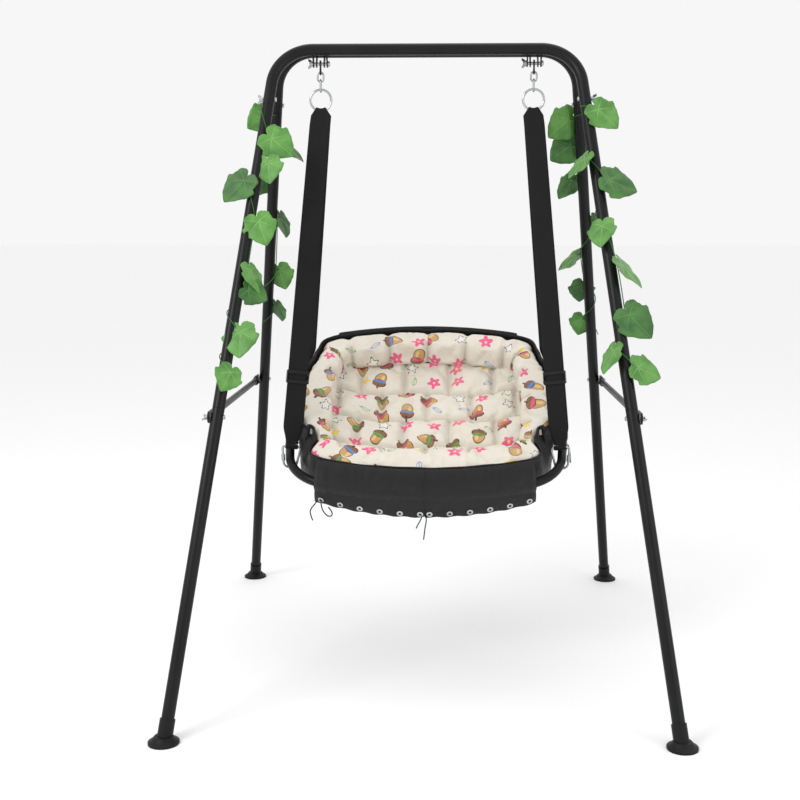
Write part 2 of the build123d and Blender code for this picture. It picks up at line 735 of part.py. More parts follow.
def make_apron(u, v, hangs_lower):
    """Padded flap over the rim and down outside the hoop, between limits across and along."""
    low = apron_middle_drop if hangs_lower else apron_end_drop
    wall = band(apron_inner, apron_outer, -low, rim_back + 20) & under_rim(0)
    cap = band(-shell_inset + seam_gap, apron_inner + 1, rim_front - 20, rim_back + 20)
    cap = (cap & under_rim(0)) - under_rim(apron_thick)
    flap = (wall + cap) & block(u, v, (-100, 200))
    if hangs_lower:
        radius = front_apron_half ** 2 / (2 * (apron_middle_drop - apron_end_drop))
        flap = flap & Pos(0, 0, radius - apron_middle_drop) * Rot(90, 0, 0) * Cylinder(radius, 1200)
    return seat_plane * flap


def make_pad():
    """The tufted seat pad as a plain block."""
    offset = -shell_inset - shell_thick - cushion_gap
    low = -shell_floor + shell_thick + cushion_gap
    pad = Pos(0, 0, low) * extrude(hoop_outline(offset), cushion_top - low)
    return dented(fillet(pad.edges().group_by(Axis.Z)[0], cushion_round))


def make_bolster():
    """The raised ring round the pad."""
    offset = -shell_inset - shell_thick - cushion_gap
    ring = band(offset - bolster_width, offset, cushion_top + cushion_gap, rim_back + 20)
    ring = ring & under_rim(bolster_below_rim)
    return dented(fillet(ring.faces().sort_by(Axis.Z)[-1].edges(), cushion_round))


# ---- lacing ----
def rim_point(distance, offset, height):
    """A point beside the hoop: so far round it, so far outside it, so far above its plane."""
    spot, out = hoop_walk(distance)
    return Vector(spot.X + out.X * offset, spot.Y + out.Y * offset, height)


def arc_to(limit):
    """Distance round the hoop from the middle of the front or the back to where the apron ends."""
    reach = limit * 0.9
    while abs(rim_point(reach, apron_outer, 0).X) < limit:
        reach += 1.0
    return reach


def eyelet_stations():
    """Distances round the hoop of every eyelet, run by run."""
    half = half_round()
    front_step = (arc_to(front_apron_half) - eyelet_edge - eyelet_seam) / (front_eyelets - 1)
    front = [eyelet_seam + front_step * k for k in range(front_eyelets)]
    back_reach = arc_to(back_apron_half) - eyelet_edge
    back = [-back_reach + 2 * back_reach * k / (back_eyelets - 1) for k in range(back_eyelets)]
    side_reach = side_apron_half - eyelet_edge
    side = [-side_reach + 2 * side_reach * k / (side_eyelets - 1) for k in range(side_eyelets)]
    return {"front_right": [half - s for s in front], "front_left": [half + s for s in front], "back": back,
            "right": [half / 2 + s for s in side], "left": [half * 1.5 + s for s in side]}


def eyelet_height(name, station):
    if name in ("left", "right"):
        return -apron_end_drop + eyelet_up
    return apron_edge(rim_point(station, apron_outer, 0).X) + eyelet_up


def make_eyelets():
    """Plated ring pressed into the apron at each station."""
    ring = turned((eyelet_inner, 0), (eyelet_outer, 0), (eyelet_outer, eyelet_thick * 0.6),
                  (eyelet_outer - 2, eyelet_thick), (eyelet_inner, eyelet_thick))
    rings = []
    for name, stations in eyelet_stations().items():
        for station in stations:
            out = hoop_walk(station)[1]
            origin = rim_point(station, apron_outer + 0.05, eyelet_height(name, station))
            rings.append(seat_plane * (Plane(origin=origin, z_dir=(out.X, out.Y, 0)) * ring))
    return group(rings)


def lacing_points(name, stations):
    """A wave between the eyelets and the underside of the shell."""
    sign = 1 if stations[1] > stations[0] else -1
    low = -shell_floor - lace_radius - lace_floor_gap
    points = []
    for station, following in zip(stations, stations[1:] + [None]):
        height = eyelet_height(name, station)
        for step in (-lace_flat, lace_flat):
            points.append(rim_point(station + sign * step, apron_inner - lace_radius - 0.4, height))
        if following is not None:
            middle = (station + following) / 2
            for step in (-lace_flat, lace_flat):
                points.append(rim_point(middle + sign * step, -shell_inset - 6, low))
    return points


def make_lacing():
    """Cord laced behind each run of eyelets."""
    runs = []
    for name, stations in eyelet_stations().items():
        route = FilletPolyline(*lacing_points(name, stations), radius=lace_bend)
        start = Plane(origin=route @ 0, z_dir=route % 0)
        runs.append(seat_plane * sweep(start * Circle(lace_radius), path=route))
    cord_radii["lacing"] = lace_bend
    return group(runs)


# ---- free lace ends: each route's points are chosen by hand. Across from the middle of the front (or
# along from the middle of the right side, forwards), out from the hoop's axis, above its plane ----
lace_ends = {
    "lace_tail_left": [(-258, 19, -42), (-262, 22, -51), (-270, 25, -64), (-274, 26, -81), (-268, 26, -101)],
    "lace_loop_left": [(-249, 19, -42), (-247, 23, -54), (-241, 26, -68), (-229, 27, -78), (-219, 27, -71),
                       (-220, 27, -58), (-229, 25, -49)],
    "lace_tail_middle_short": [(-7, 19, -59), (-10, 22, -68), (-16, 24, -78), (-20, 25, -90)],
    "lace_tail_middle_long": [(3, 19, -59), (4, 23, -69), (1, 25, -84), (-1, 26, -104), (-3, 26, -125)],
    "lace_tail_right_short": [(76, 19, -42), (81, 23, -51), (87, 25, -63), (92, 26, -77)],
    "lace_tail_right_long": [(64, 19, -42), (68, 22, -52), (70, 25, -68), (70, 26, -87)],
}


def corner_radii(points):
    """Largest arc that the two runs beside each point allow."""
    radii = []
    for before, here, after in zip(points, points[1:], points[2:]):
        turn = (here - before).get_angle(after - here)
        shorter = min((here - before).length, (after - here).length)
        radii.append(0.45 * shorter / tan(radians(turn) / 2))
    return radii


def make_cord(name, points, radius, widest=1000.0):
    """A round cord along straight runs joined by arcs, none wider than the widest."""
    radii = [min(bend, widest) for bend in corner_radii(points)]
    cord_radii[name] = min(radii)
    route = FilletPolyline(*points, radius=radii)
    start = Plane(origin=route @ 0, z_dir=route % 0)
    cord = sweep(start * Circle(radius), path=route)
    expected = pi * radius ** 2 * route.length
    print(f"{name}: length {route.length:.0f}, volume ratio {cord.volume / expected:.3f}, "
          f"radii {' '.join(f'{r:.0f}' for r in radii)}")
    return cord


def make_lace_end(name):
    """A free end, with its stations turned into distances round the hoop."""
    half = half_round()
    points = []
    for along, offset, height in lace_ends[name]:
        station = half / 2 + along if "right" in name else half - along
        spot = rim_point(station, offset, height)
        points.append(seat_point(spot.X, spot.Y, spot.Z))
    return make_cord(name, points, lace_radius)


# ---- ivy ----
# Each leaf: distance down the leg, the side of the leg that its stalk leaves from (degrees from the
# outer face of the arch, positive to the right), its length, and its tip's swing from straight down
# (degrees, positive to the right).
ivy_leaves = {
    ("front", -1): [(238, 58, 66, 62), (300, 62, 56, 18), (352, -64, 70, -35), (452, 60, 62, 30),
                    (575, 62, 58, 22), (622, 70, 50, 75), (726, 60, 66, 12), (826, 40, 52, -18)],
    ("rear", -1): [(160, -62, 62, -55), (232, 64, 66, 48), (338, -60, 58, -30), (438, 50, 60, 12),
                   (590, 66, 58, 25), (700, 56, 52, 14)],
    ("front", 1): [(168, 60, 66, 42), (292, -60, 60, -40), (352, 62, 74, 64), (470, -20, 56, -8),
                   (565, 58, 72, 28), (688, 62, 74, 38), (770, -58, 60, -20), (816, 64, 62, 66)],
    ("rear", 1): [(168, -66, 70, -62), (238, -60, 66, -72), (330, -64, 62, -38), (450, 56, 60, 22),
                  (545, -66, 66, -58), (640, -34, 56, -10), (742, -52, 52, -20)],
}
ivy_span = {("front", -1): (158, 860), ("rear", -1): (155, 745), ("front", 1): (158, 880),
            ("rear", 1): (155, 790)}


def leaf_blade(length):
    """Five-pointed ivy leaf lying in XZ with its base at the origin and its tip along Z."""
    half = length / 2
    right = [(0.0, 0.0), (0.55, -0.10), (1.0, 0.16), (0.72, 0.36), (0.80, 0.60), (0.34, 0.76)]
    left = [(-x, z) for x, z in reversed(right[1:])]
    outline = [(x * half, z * length) for x, z in right + [(0.0, 1.0)] + left]
    return extrude(make_face(Plane.XZ * Polyline(*outline, close=True)), leaf_thick / 2, both=True,
                   dir=(0, 1, 0))


def round_leg(side, distance, bearing, radius):
    """A point beside a leg: bearing 0 is the arch's outer face, 90 the right."""
    turn = radians(bearing)
    return Vector(radius * sin(turn), -side * radius * cos(turn), distance)


def ivy_route(side_name, hand):
    """Bearings that the wire takes down the leg, so that it passes the foot of every stalk."""
    first, last = ivy_span[side_name, hand]
    leaves = ivy_leaves[side_name, hand]
    stops = [(first, leaves[0][1] - 120)] + [(leaf[0], leaf[1]) for leaf in leaves]
    stops.append((last, leaves[-1][1] + 150))
    route = [stops[0]]
    for (here, at), (there, to) in zip(stops, stops[1:]):
        turn = (to - at) % 360
        start = route[-1][1]
        steps = max(1, ceil(turn / ivy_step))
        gap = there - here
        route.extend((here + gap * k / steps, start + turn * k / steps) for k in range(1, steps + 1))
    return route


def make_leaf(side, distance, bearing, length, swing):
    """A leaf with its stalk, in the leg's frame."""
    foot = round_leg(side, distance, bearing, ivy_wind - stalk_foot)
    base = round_leg(side, distance + leaf_stalk / 2, bearing, ivy_wind + leaf_stalk)
    stalk = Plane(origin=foot, z_dir=base - foot) * upright(stalk_radius, 0, (base - foot).length + 0.8)
    face = Rot(0, 0, side * bearing / 2) * Rot(0, swing, 0) * Rot(side * leaf_lift, 0, 0)
    return stalk + Pos(base.X, base.Y, base.Z) * face * leaf_blade(length)


def make_ivy(side_name, hand):
    """A wire wound down one leg with leaves on it, fused."""
    side = arches[side_name]
    at = leg_frame(side, hand, 0)
    points = [at.from_local_coords(round_leg(side, distance, bearing, ivy_wind))
              for distance, bearing in ivy_route(side_name, hand)]
    vine = make_cord(f"ivy_{side_name} {hand:+d}", points, ivy_wire / 2, ivy_bend)
    for leaf in ivy_leaves[side_name, hand]:
        vine = vine + at * make_leaf(side, *leaf)
    return vine


# ---- assembly ----
def make_stand():
    for name, side in arches.items():
        put(f"{name}_arch", make_arch(side))
        put(f"{name}_ears", make_ears(side))
        for hand_name, hand in hands.items():
            put(f"{name}_upper_leg_{hand_name}", make_upper_leg(side, hand))
            put(f"{name}_lower_leg_{hand_name}", make_lower_leg(side, hand))
            put(f"{name}_foot_{hand_name}", make_foot(side, hand))
            put(f"ivy_{name}_{hand_name}", make_ivy(name, hand))
        put(f"{name}_bolts", make_stand_bolts(side))
        put(f"{name}_wing_nuts", make_stand_nuts(side))
    put("hanger_bolts", make_hanger_bolts())
    put("hanger_nuts", make_hanger_nuts())


def make_sides():
    for name, hand in hands.items():
        put(f"brace_{name}", make_brace(hand))
        put(f"hanger_eye_{name}", make_eye(hand))
        put(f"hanger_chain_{name}", make_chain(hand))
        put(f"hanger_ring_{name}", make_ring(hand))
        put(f"strap_{name}", make_strap(hand))
        put(f"strap_slider_{name}", make_slider(hand))
        put(f"link_sleeve_front_{name}", make_sleeve(front_run, hand))
        put(f"link_sleeve_rear_{name}", make_sleeve(rear_run, hand))
    put("quick_links", group([make_link(run, hand) for run in (front_run, rear_run) for hand in (-1, 1)]))


def make_seat():
    put("seat_hoop", make_hoop())
    put("shell_tray", make_shell())
    wide = hoop_half_width + 50
    deep = hoop_half_depth + 50
    seam = seam_gap / 2
    put("apron_front_left", make_apron((-front_apron_half, -seam), (-deep, -60), True))
    put("apron_front_right", make_apron((seam, front_apron_half), (-deep, -60), True))
    put("apron_back", make_apron((-back_apron_half, back_apron_half), (60, deep), True))
    put("apron_left", make_apron((-wide, -200), (-side_apron_half, side_apron_half), False))
    put("apron_right", make_apron((200, wide), (-side_apron_half, side_apron_half), False))
    put("seat_pad", make_pad())
    put("seat_bolster", make_bolster())
    put("eyelets", make_eyelets())
    put("lacing", make_lacing())
    for name in lace_ends:
        put(name, make_lace_end(name))


def write_parts():
    os.makedirs("parts", exist_ok=True)
    for name, shape in parts.items():
        export_step(shape, f"parts/{name}.step")
    tightest = min(cord_radii.values())
    print(f"{len(parts)} nodes written, tightest cord arc {tightest:.1f} mm")


make_stand()
make_sides()
make_seat()
write_parts()
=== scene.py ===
# %% [markdown]
# # A baby swing: nest seat, webbing, rings and a folding stand
# The stand, hoop, links and other hard pieces come from the measured model and only get their finish
# here. The soft pieces (webbing, black covers, cushion, laces) and the ivy are drawn here, in the same
# frame and in metres, each one riding on the rigid body that carries it.

# %% Load the measured model
import json
import math
import bpy
import numpy as np
from mathutils import Matrix, Vector


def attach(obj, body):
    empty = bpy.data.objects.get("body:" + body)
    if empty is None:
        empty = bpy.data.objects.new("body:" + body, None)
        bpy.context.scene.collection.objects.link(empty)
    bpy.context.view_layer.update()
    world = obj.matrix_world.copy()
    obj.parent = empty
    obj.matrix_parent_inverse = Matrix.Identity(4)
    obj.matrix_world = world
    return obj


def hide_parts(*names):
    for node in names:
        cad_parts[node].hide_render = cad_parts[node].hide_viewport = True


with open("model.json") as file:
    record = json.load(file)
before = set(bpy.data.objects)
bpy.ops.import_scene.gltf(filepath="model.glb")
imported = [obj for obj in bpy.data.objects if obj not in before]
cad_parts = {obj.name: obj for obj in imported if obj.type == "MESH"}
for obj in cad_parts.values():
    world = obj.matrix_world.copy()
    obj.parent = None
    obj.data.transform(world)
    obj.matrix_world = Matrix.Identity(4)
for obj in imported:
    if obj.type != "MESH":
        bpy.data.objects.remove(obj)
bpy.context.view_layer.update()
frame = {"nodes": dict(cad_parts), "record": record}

scene = bpy.context.scene

# %% [markdown]
# ## Camera
# A product picture of a tall, thin stand is taken from a few metres away with a normal lens, a little
# above the seat and tipped down. A short shift keeps the stand where it should be in the frame
# without turning the camera.

# %% Camera
camera_data = bpy.data.cameras.new("camera")
camera_data.sensor_width = 36.0
camera_data.lens = 52.68
camera_data.shift_x = -0.0196
camera_data.clip_end = 100.0
camera = bpy.data.objects.new("camera", camera_data)
scene.collection.objects.link(camera)
camera.location = (0.0458, -2.9952, 1.0897)
camera.rotation_euler = (math.radians(90 - 8.153), 0.0, 0.0247)
scene.camera = camera
print("camera", tuple(round(c, 3) for c in camera.location))

# %% [markdown]
# ## The seat's own axes
# Everything on the seat is easiest to place beside its hoop: so far round it, so far outside it and so
# far above its plane. The hoop is made of five arcs on each side, so a walk along the arcs gives a
# point and an outward direction, and one matrix tips the whole seat up at the back.

# %% Seat axes
SEAT_TILT = math.radians(27.0)
SEAT_MIDDLE = Vector((0.0, 0.004, 0.6175))
seat_matrix = Matrix.Translation(SEAT_MIDDLE) @ Matrix.Rotation(SEAT_TILT, 4, "X")
HOOP_WIDE, HOOP_DEEP = 0.346, 0.310
SIDE_BOW, END_BOW, CORNER = 1.5, 0.95, 0.122
RIM_FRONT, RIM_BACK = 0.060, 0.090
SHELL_INSET = 0.021
WEBBING_ROUND = 0.188


def hoop_arcs():
    """Right half of the hoop as (middle, radius, first bearing, last bearing), from the back."""
    side, end = Vector((HOOP_WIDE - SIDE_BOW, 0)), Vector((0, HOOP_DEEP - END_BOW))
    side_reach, end_reach = SIDE_BOW - CORNER, END_BOW - CORNER
    gap = end - side
    along = (side_reach ** 2 - end_reach ** 2 + gap.length_squared) / (2 * gap.length)
    unit = gap.normalized()
    corner = side + unit * along + Vector((-unit.y, unit.x)) * math.sqrt(side_reach ** 2 - along ** 2)
    one = math.atan2((corner - end).x, (corner - end).y)
    two = math.atan2((corner - side).x, (corner - side).y)
    front = Vector((corner.x, -corner.y))
    return [(end, END_BOW, 0, one), (corner, CORNER, one, two), (side, SIDE_BOW, two, math.pi - two),
            (front, CORNER, math.pi - two, math.pi - one), (-end, END_BOW, math.pi - one, math.pi)]


ARCS = hoop_arcs()
HALF_ROUND = sum(radius * (last - first) for _, radius, first, last in ARCS)


def hoop_walk(distance):
    """Point and outward direction on the hoop's axis, clockwise from the middle of the back."""
    rest = distance % (2 * HALF_ROUND)
    flip = 1
    if rest > HALF_ROUND:
        rest, flip = 2 * HALF_ROUND - rest, -1
    for middle, radius, first, last in ARCS:
        if rest <= radius * (last - first) + 1e-9:
            break
        rest -= radius * (last - first)
    bearing = first + rest / radius
    out = Vector((math.sin(bearing), math.cos(bearing)))
    point = middle + out * radius
    return Vector((flip * point.x, point.y)), Vector((flip * out.x, out.y))


def beside_hoop(distance, offset, height):
    """World point so far round the hoop, outside it and above its plane."""
    spot, out = hoop_walk(distance)
    return seat_matrix @ Vector((spot.x + out.x * offset, spot.y + out.y * offset, height))


print(f"half round {HALF_ROUND:.3f} m")

# %% [markdown]
# ## Free lace ends
# The black lace that ties the covers on is a 3 mm braided cord. Six ends hang free: a bow's tail and
# loop at the left, two in the middle and two at the right. A limp cord is a smooth curve through a few
# given points, so a NURBS spline of order three suits it, with a round bevel.

# %% Lace ends
LACE_THICK = 0.003
lace_ends = {
    "lace_tail_left": [(-258, 19, -42), (-262, 22, -51), (-270, 25, -64), (-274, 26, -81), (-268, 26, -101)],
    "lace_loop_left": [(-249, 19, -42), (-247, 23, -54), (-241, 26, -68), (-229, 27, -78), (-219, 27, -71),
                       (-220, 27, -58), (-229, 25, -49)],
    "lace_tail_middle_short": [(-7, 19, -59), (-10, 22, -68), (-16, 24, -78), (-20, 25, -90)],
    "lace_tail_middle_long": [(3, 19, -59), (4, 23, -69), (1, 25, -84), (-1, 26, -104), (-3, 26, -125)],
    "lace_tail_right_short": [(76, 19, -42), (81, 23, -51), (87, 25, -63), (92, 26, -77)],
    "lace_tail_right_long": [(64, 19, -42), (68, 22, -52), (70, 25, -68), (70, 26, -87)],
}
lace_pieces = []


def mesh_of(curve_object):
    """The mesh that a curve object gives, as it is now."""
    bpy.context.view_layer.update()
    return bpy.data.meshes.new_from_object(curve_object.evaluated_get(bpy.context.evaluated_depsgraph_get()))


def draw_lace(name, points):
    """A round tube along one smooth spline through given points, riding on the seat in place of the measured
    lace end.
    """
    curve = bpy.data.curves.new("route_" + name, "CURVE")
    curve.dimensions = "3D"
    spline = curve.splines.new("NURBS")
    spline.points.add(len(points) - 1)
    for spot, point in zip(spline.points, points):
        spot.co = (*point, 1.0)
    spline.order_u = 3
    spline.use_endpoint_u = True
    route = bpy.data.objects.new("route_" + name, curve)
    scene.collection.objects.link(route)
    line = mesh_of(route)
    curve.bevel_depth = LACE_THICK / 2
    curve.bevel_resolution = 4
    curve.use_fill_caps = True
    lace = bpy.data.objects.new("drawn_" + name, mesh_of(route))
    bpy.data.objects.remove(route)
    scene.collection.objects.link(lace)
    lace.data.materials.clear()
    for polygon in lace.data.polygons:
        polygon.use_smooth = True
    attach(lace, "seat")
    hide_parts(name)
    return lace


for name, route in lace_ends.items():
    points = []
    for along, offset, height in route:
        station = HALF_ROUND / 2 + along / 1000 if "right" in name else HALF_ROUND - along / 1000
        points.append(beside_hoop(station, offset / 1000, height / 1000))
    lace_pieces.append(draw_lace(name, points))
print("lace ends", len(lace_pieces))

# %% [markdown]
# ## Node helpers
# Finishes are built from maths on coordinates, so a thin wrapper that lets sockets be added and
# multiplied like numbers keeps each recipe readable.


# %% Node helpers
class Value:
    """A socket that arithmetic can be done with."""

    def __init__(self, tree, socket):
        self.tree, self.socket = tree, socket

    def do(self, operation, *others):
        node = self.tree.nodes.new("ShaderNodeMath")
        node.operation = operation
        for slot, item in zip(node.inputs, (self, *others)):
            if isinstance(item, Value):
                self.tree.links.new(item.socket, slot)
            else:
                slot.default_value = item
        return Value(self.tree, node.outputs[0])

    def __add__(self, other):
        return self.do("ADD", other)

    def __sub__(self, other):
        return self.do("SUBTRACT", other)

    def __mul__(self, other):
        return self.do("MULTIPLY", other)

    def __truediv__(self, other):
        return self.do("DIVIDE", other)

    def below(self, other):
        return self.do("LESS_THAN", other)

    def above(self, other):
        return self.do("GREATER_THAN", other)

    def soft(self, low, high):
        """Rises smoothly from 0 to 1 between two limits."""
        node = self.tree.nodes.new("ShaderNodeMapRange")
        node.interpolation_type = "SMOOTHSTEP"
        self.tree.links.new(self.socket, node.inputs["Value"])
        node.inputs["From Min"].default_value = low
        node.inputs["From Max"].default_value = high
        return Value(self.tree, node.outputs["Result"])


def link(tree, source, target):
    """Joins an output, or the one a Value holds, to an input."""
    tree.links.new(source.socket if isinstance(source, Value) else source, target)


def noise(tree, vector, scale, detail=3.0, stretch=None):
    """Noise over a coordinate, stretched along its axes."""
    if stretch is not None:
        mapping = tree.nodes.new("ShaderNodeMapping")
        mapping.inputs["Scale"].default_value = stretch
        link(tree, vector, mapping.inputs["Vector"])
        vector = mapping.outputs["Vector"]
    node = tree.nodes.new("ShaderNodeTexNoise")
    link(tree, vector, node.inputs["Vector"])
    node.inputs["Scale"].default_value = scale
    node.inputs["Detail"].default_value = detail
    return Value(tree, node.outputs["Fac"])


def blend_colours(tree, factor, first, second):
    """Mix of two colours or sockets by a factor."""
    node = tree.nodes.new("ShaderNodeMix")
    node.data_type = "RGBA"
    link(tree, factor, node.inputs["Factor"])
    for slot, item in ((node.inputs["A"], first), (node.inputs["B"], second)):
        if isinstance(item, (tuple, list)):
            slot.default_value = (*item[:3], 1.0)
        else:
            link(tree, item, slot)
    return node.outputs["Result"]


def new_group(name, takes, gives):
    """An empty shader group with named float or vector inputs and outputs."""
    tree = bpy.data.node_groups.new(name, "ShaderNodeTree")
    for label, kind, value in takes:
        made = tree.interface.new_socket(label, in_out="INPUT", socket_type=kind)
        if value is not None:
            made.default_value = value
    for label, kind in gives:
        tree.interface.new_socket(label, in_out="OUTPUT", socket_type=kind)
    return tree, tree.nodes.new("NodeGroupInput"), tree.nodes.new("NodeGroupOutput")


FLOAT, VECTOR, COLOUR = "NodeSocketFloat", "NodeSocketVector", "NodeSocketColor"

# %% [markdown]
# ## Shared effects
# Cloth, cord and webbing all show threads, so the weave is one group that takes thread counts along
# and across. Painted and plated metal share a grain: a coarse drift in tone and a fine orange-peel or
# brushed texture. A little pale dust on what faces up ties the pieces together.


# %% Woven threads
def make_weave():
    """Fine crossed threads, as a height and a shade."""
    tree, takes, gives = new_group("woven_threads", [("Vector", VECTOR, None), ("Along", FLOAT, 1000.0),
                                                     ("Across", FLOAT, 1000.0)],
                                   [("Height", FLOAT), ("Shade", FLOAT)])
    split = tree.nodes.new("ShaderNodeSeparateXYZ")
    link(tree, takes.outputs["Vector"], split.inputs[0])
    across = Value(tree, split.outputs["X"]) * Value(tree, takes.outputs["Across"])
    along = Value(tree, split.outputs["Y"]) * Value(tree, takes.outputs["Along"])
    over = (across * 6.2832).do("SINE") * (along * 6.2832).do("SINE")
    ribs = (across * 12.566).do("COSINE") + (along * 12.566).do("COSINE")
    uneven = noise(tree, takes.outputs["Vector"], 260.0, 2.0)
    height = over * 0.5 + ribs * 0.12 + uneven * 0.35
    link(tree, height, gives.inputs["Height"])
    link(tree, over * 0.5 + 0.5, gives.inputs["Shade"])
    return tree


weave_group = make_weave()


# %% Metal grain and settled dust
def make_grain():
    """Fine grain as a height, and slow drift as a tone."""
    tree, takes, gives = new_group("metal_grain", [("Fine", FLOAT, 900.0), ("Coarse", FLOAT, 14.0)],
                                   [("Height", FLOAT), ("Tone", FLOAT)])
    place = tree.nodes.new("ShaderNodeTexCoord").outputs["Object"]
    fine = tree.nodes.new("ShaderNodeTexNoise")
    coarse = tree.nodes.new("ShaderNodeTexNoise")
    for node, label in ((fine, "Fine"), (coarse, "Coarse")):
        link(tree, place, node.inputs["Vector"])
        link(tree, takes.outputs[label], node.inputs["Scale"])
    link(tree, fine.outputs["Fac"], gives.inputs["Height"])
    link(tree, coarse.outputs["Fac"], gives.inputs["Tone"])
    return tree


def make_dust():
    """Where dust settles."""
    tree, takes, gives = new_group("settled_dust", [("Amount", FLOAT, 0.2)], [("Mask", FLOAT)])
    facing = tree.nodes.new("ShaderNodeSeparateXYZ")
    link(tree, tree.nodes.new("ShaderNodeNewGeometry").outputs["Normal"], facing.inputs[0])
    patchy = noise(tree, tree.nodes.new("ShaderNodeTexCoord").outputs["Object"], 9.0, 5.0)
    mask = Value(tree, facing.outputs["Z"]).soft(0.35, 1.0) * patchy.soft(0.35, 0.75)
    link(tree, mask * Value(tree, takes.outputs["Amount"]), gives.inputs["Mask"])
    return tree


grain_group = make_grain()
dust_group = make_dust()


def use_group(tree, group, **values):
    """Places a node group in a material."""
    node = tree.nodes.new("ShaderNodeGroup")
    node.node_tree = group
    for label, value in values.items():
        slot = node.inputs[label]
        if isinstance(value, (int, float)):
            slot.default_value = value
        else:
            link(tree, value, slot)
    return node


def start_material(name, **sockets):
    """A material with a Principled shader whose constant sockets are set straight away."""
    material = bpy.data.materials.new(name)
    material.use_nodes = True
    shader = material.node_tree.nodes["Principled BSDF"]
    for label, value in sockets.items():
        shader.inputs[label.replace("_", " ")].default_value = value
    return material, material.node_tree, shader


def add_bump(tree, shader, height, distance, strength=1.0):
    """Turns a height into the shader's normal."""
    bump = tree.nodes.new("ShaderNodeBump")
    bump.inputs["Distance"].default_value = distance
    bump.inputs["Strength"].default_value = strength
    link(tree, height, bump.inputs["Height"])
    link(tree, bump.outputs["Normal"], shader.inputs["Normal"])


# %% [markdown]
# ## Hard finishes
# Powder coat is a baked plastic paint: nearly black, softly glossy, with an orange-peel surface. Zinc
# and chrome plate are bare metal with faint drift in roughness. Rubber is duller, and moulded sliders
# are glossier. Each is one Principled shader whose roughness and bump come from the shared groups.


# %% Hard finishes
def hard_finish(name, dark, light, rough, metallic=0.0, fine=900.0, bump=0.00004, dust=0.0, coat=0.0):
    """A paint, metal or rubber."""
    material, tree, shader = start_material(name, Metallic=metallic, Coat_Weight=coat)
    shader.inputs["Coat Roughness"].default_value = 0.28
    shader.inputs["Specular IOR Level"].default_value = 0.5 if metallic else 0.22
    grain = use_group(tree, grain_group, Fine=fine)
    tone = Value(tree, grain.outputs["Tone"])
    colour = blend_colours(tree, tone.soft(0.3, 0.7), dark, light)
    if dust:
        mask = use_group(tree, dust_group, Amount=dust)
        colour = blend_colours(tree, mask.outputs["Mask"], colour, (0.30, 0.29, 0.27))
    link(tree, colour, shader.inputs["Base Color"])
    link(tree, tone * 0.16 + (rough - 0.08), shader.inputs["Roughness"])
    add_bump(tree, shader, Value(tree, grain.outputs["Height"]), bump)
    return material


powder_coat = hard_finish("powder_coat", (0.0035, 0.0037, 0.004), (0.006, 0.0062, 0.0065), 0.38, dust=0.02,
                          coat=0.04, bump=0.00006)
foot_rubber = hard_finish("foot_rubber", (0.004, 0.004, 0.004), (0.008, 0.008, 0.0078), 0.5, dust=0.05)
zinc_plate = hard_finish("zinc_plate", (0.36, 0.37, 0.38), (0.52, 0.53, 0.54), 0.28, metallic=1.0,
                         fine=1600.0, bump=0.00002)
chrome_plate = hard_finish("chrome_plate", (0.42, 0.43, 0.44), (0.58, 0.59, 0.60), 0.14, metallic=1.0,
                           fine=500.0, bump=0.00001)
black_gloss = hard_finish("black_gloss", (0.003, 0.003, 0.0034), (0.006, 0.006, 0.0065), 0.26, coat=0.15)
hard_slots = {"frame_black": powder_coat, "foot_rubber": foot_rubber, "zinc_steel": zinc_plate,
              "chrome_steel": chrome_plate, "eye_black": black_gloss, "slider_black": black_gloss}


def give_finish(data, material):
    """Makes a material the only one on a measured piece."""
    data.materials.clear()
    data.materials.append(material)


node_slots = {part["node"]: part["material_slot"] for part in frame["record"]["subparts"]}
for node_name, slot_name in node_slots.items():
    if slot_name in hard_slots:
        give_finish(frame["nodes"][node_name].data, hard_slots[slot_name])
print("hard pieces finished:", sum(slot in hard_slots for slot in node_slots.values()))

# %% [markdown]
# ## Cloth finishes
# Webbing is a coarse, tight weave with a sheen along its ribs; the black covers are fine nylon with
# soft creases; laces are braided. They read their threads from a surface map laid out in metres, so
# the weave keeps its real size on every piece.


# %% Cloth finishes
def cloth_finish(name, dark, light, rough, along, across, bump, sheen=0.3, creases=0.0, dust=0.0,
                 gloss=0.25, mapped=True):
    """A woven cloth or webbing."""
    material, tree, shader = start_material(name, Sheen_Weight=sheen, Sheen_Roughness=0.45)
    shader.inputs["Specular IOR Level"].default_value = gloss
    if mapped:
        place = tree.nodes.new("ShaderNodeUVMap").outputs["UV"]
    else:
        place = tree.nodes.new("ShaderNodeTexCoord").outputs["Object"]
    weave = use_group(tree, weave_group, Vector=place, Along=along, Across=across)
    drift = noise(tree, place, 22.0, 4.0)
    colour = blend_colours(tree, Value(tree, weave.outputs["Shade"]) * 0.5 + drift * 0.5, dark, light)
    if dust:
        mask = use_group(tree, dust_group, Amount=dust)
        colour = blend_colours(tree, mask.outputs["Mask"], colour, (0.25, 0.24, 0.22))
    link(tree, colour, shader.inputs["Base Color"])
    link(tree, drift * 0.2 + (rough - 0.1), shader.inputs["Roughness"])
    height = Value(tree, weave.outputs["Height"])
    if creases:
        folds = noise(tree, place, 1.0, 4.0, stretch=(26.0, 7.0, 1.0))
        height = height + folds * creases
    add_bump(tree, shader, height, bump)
    return material


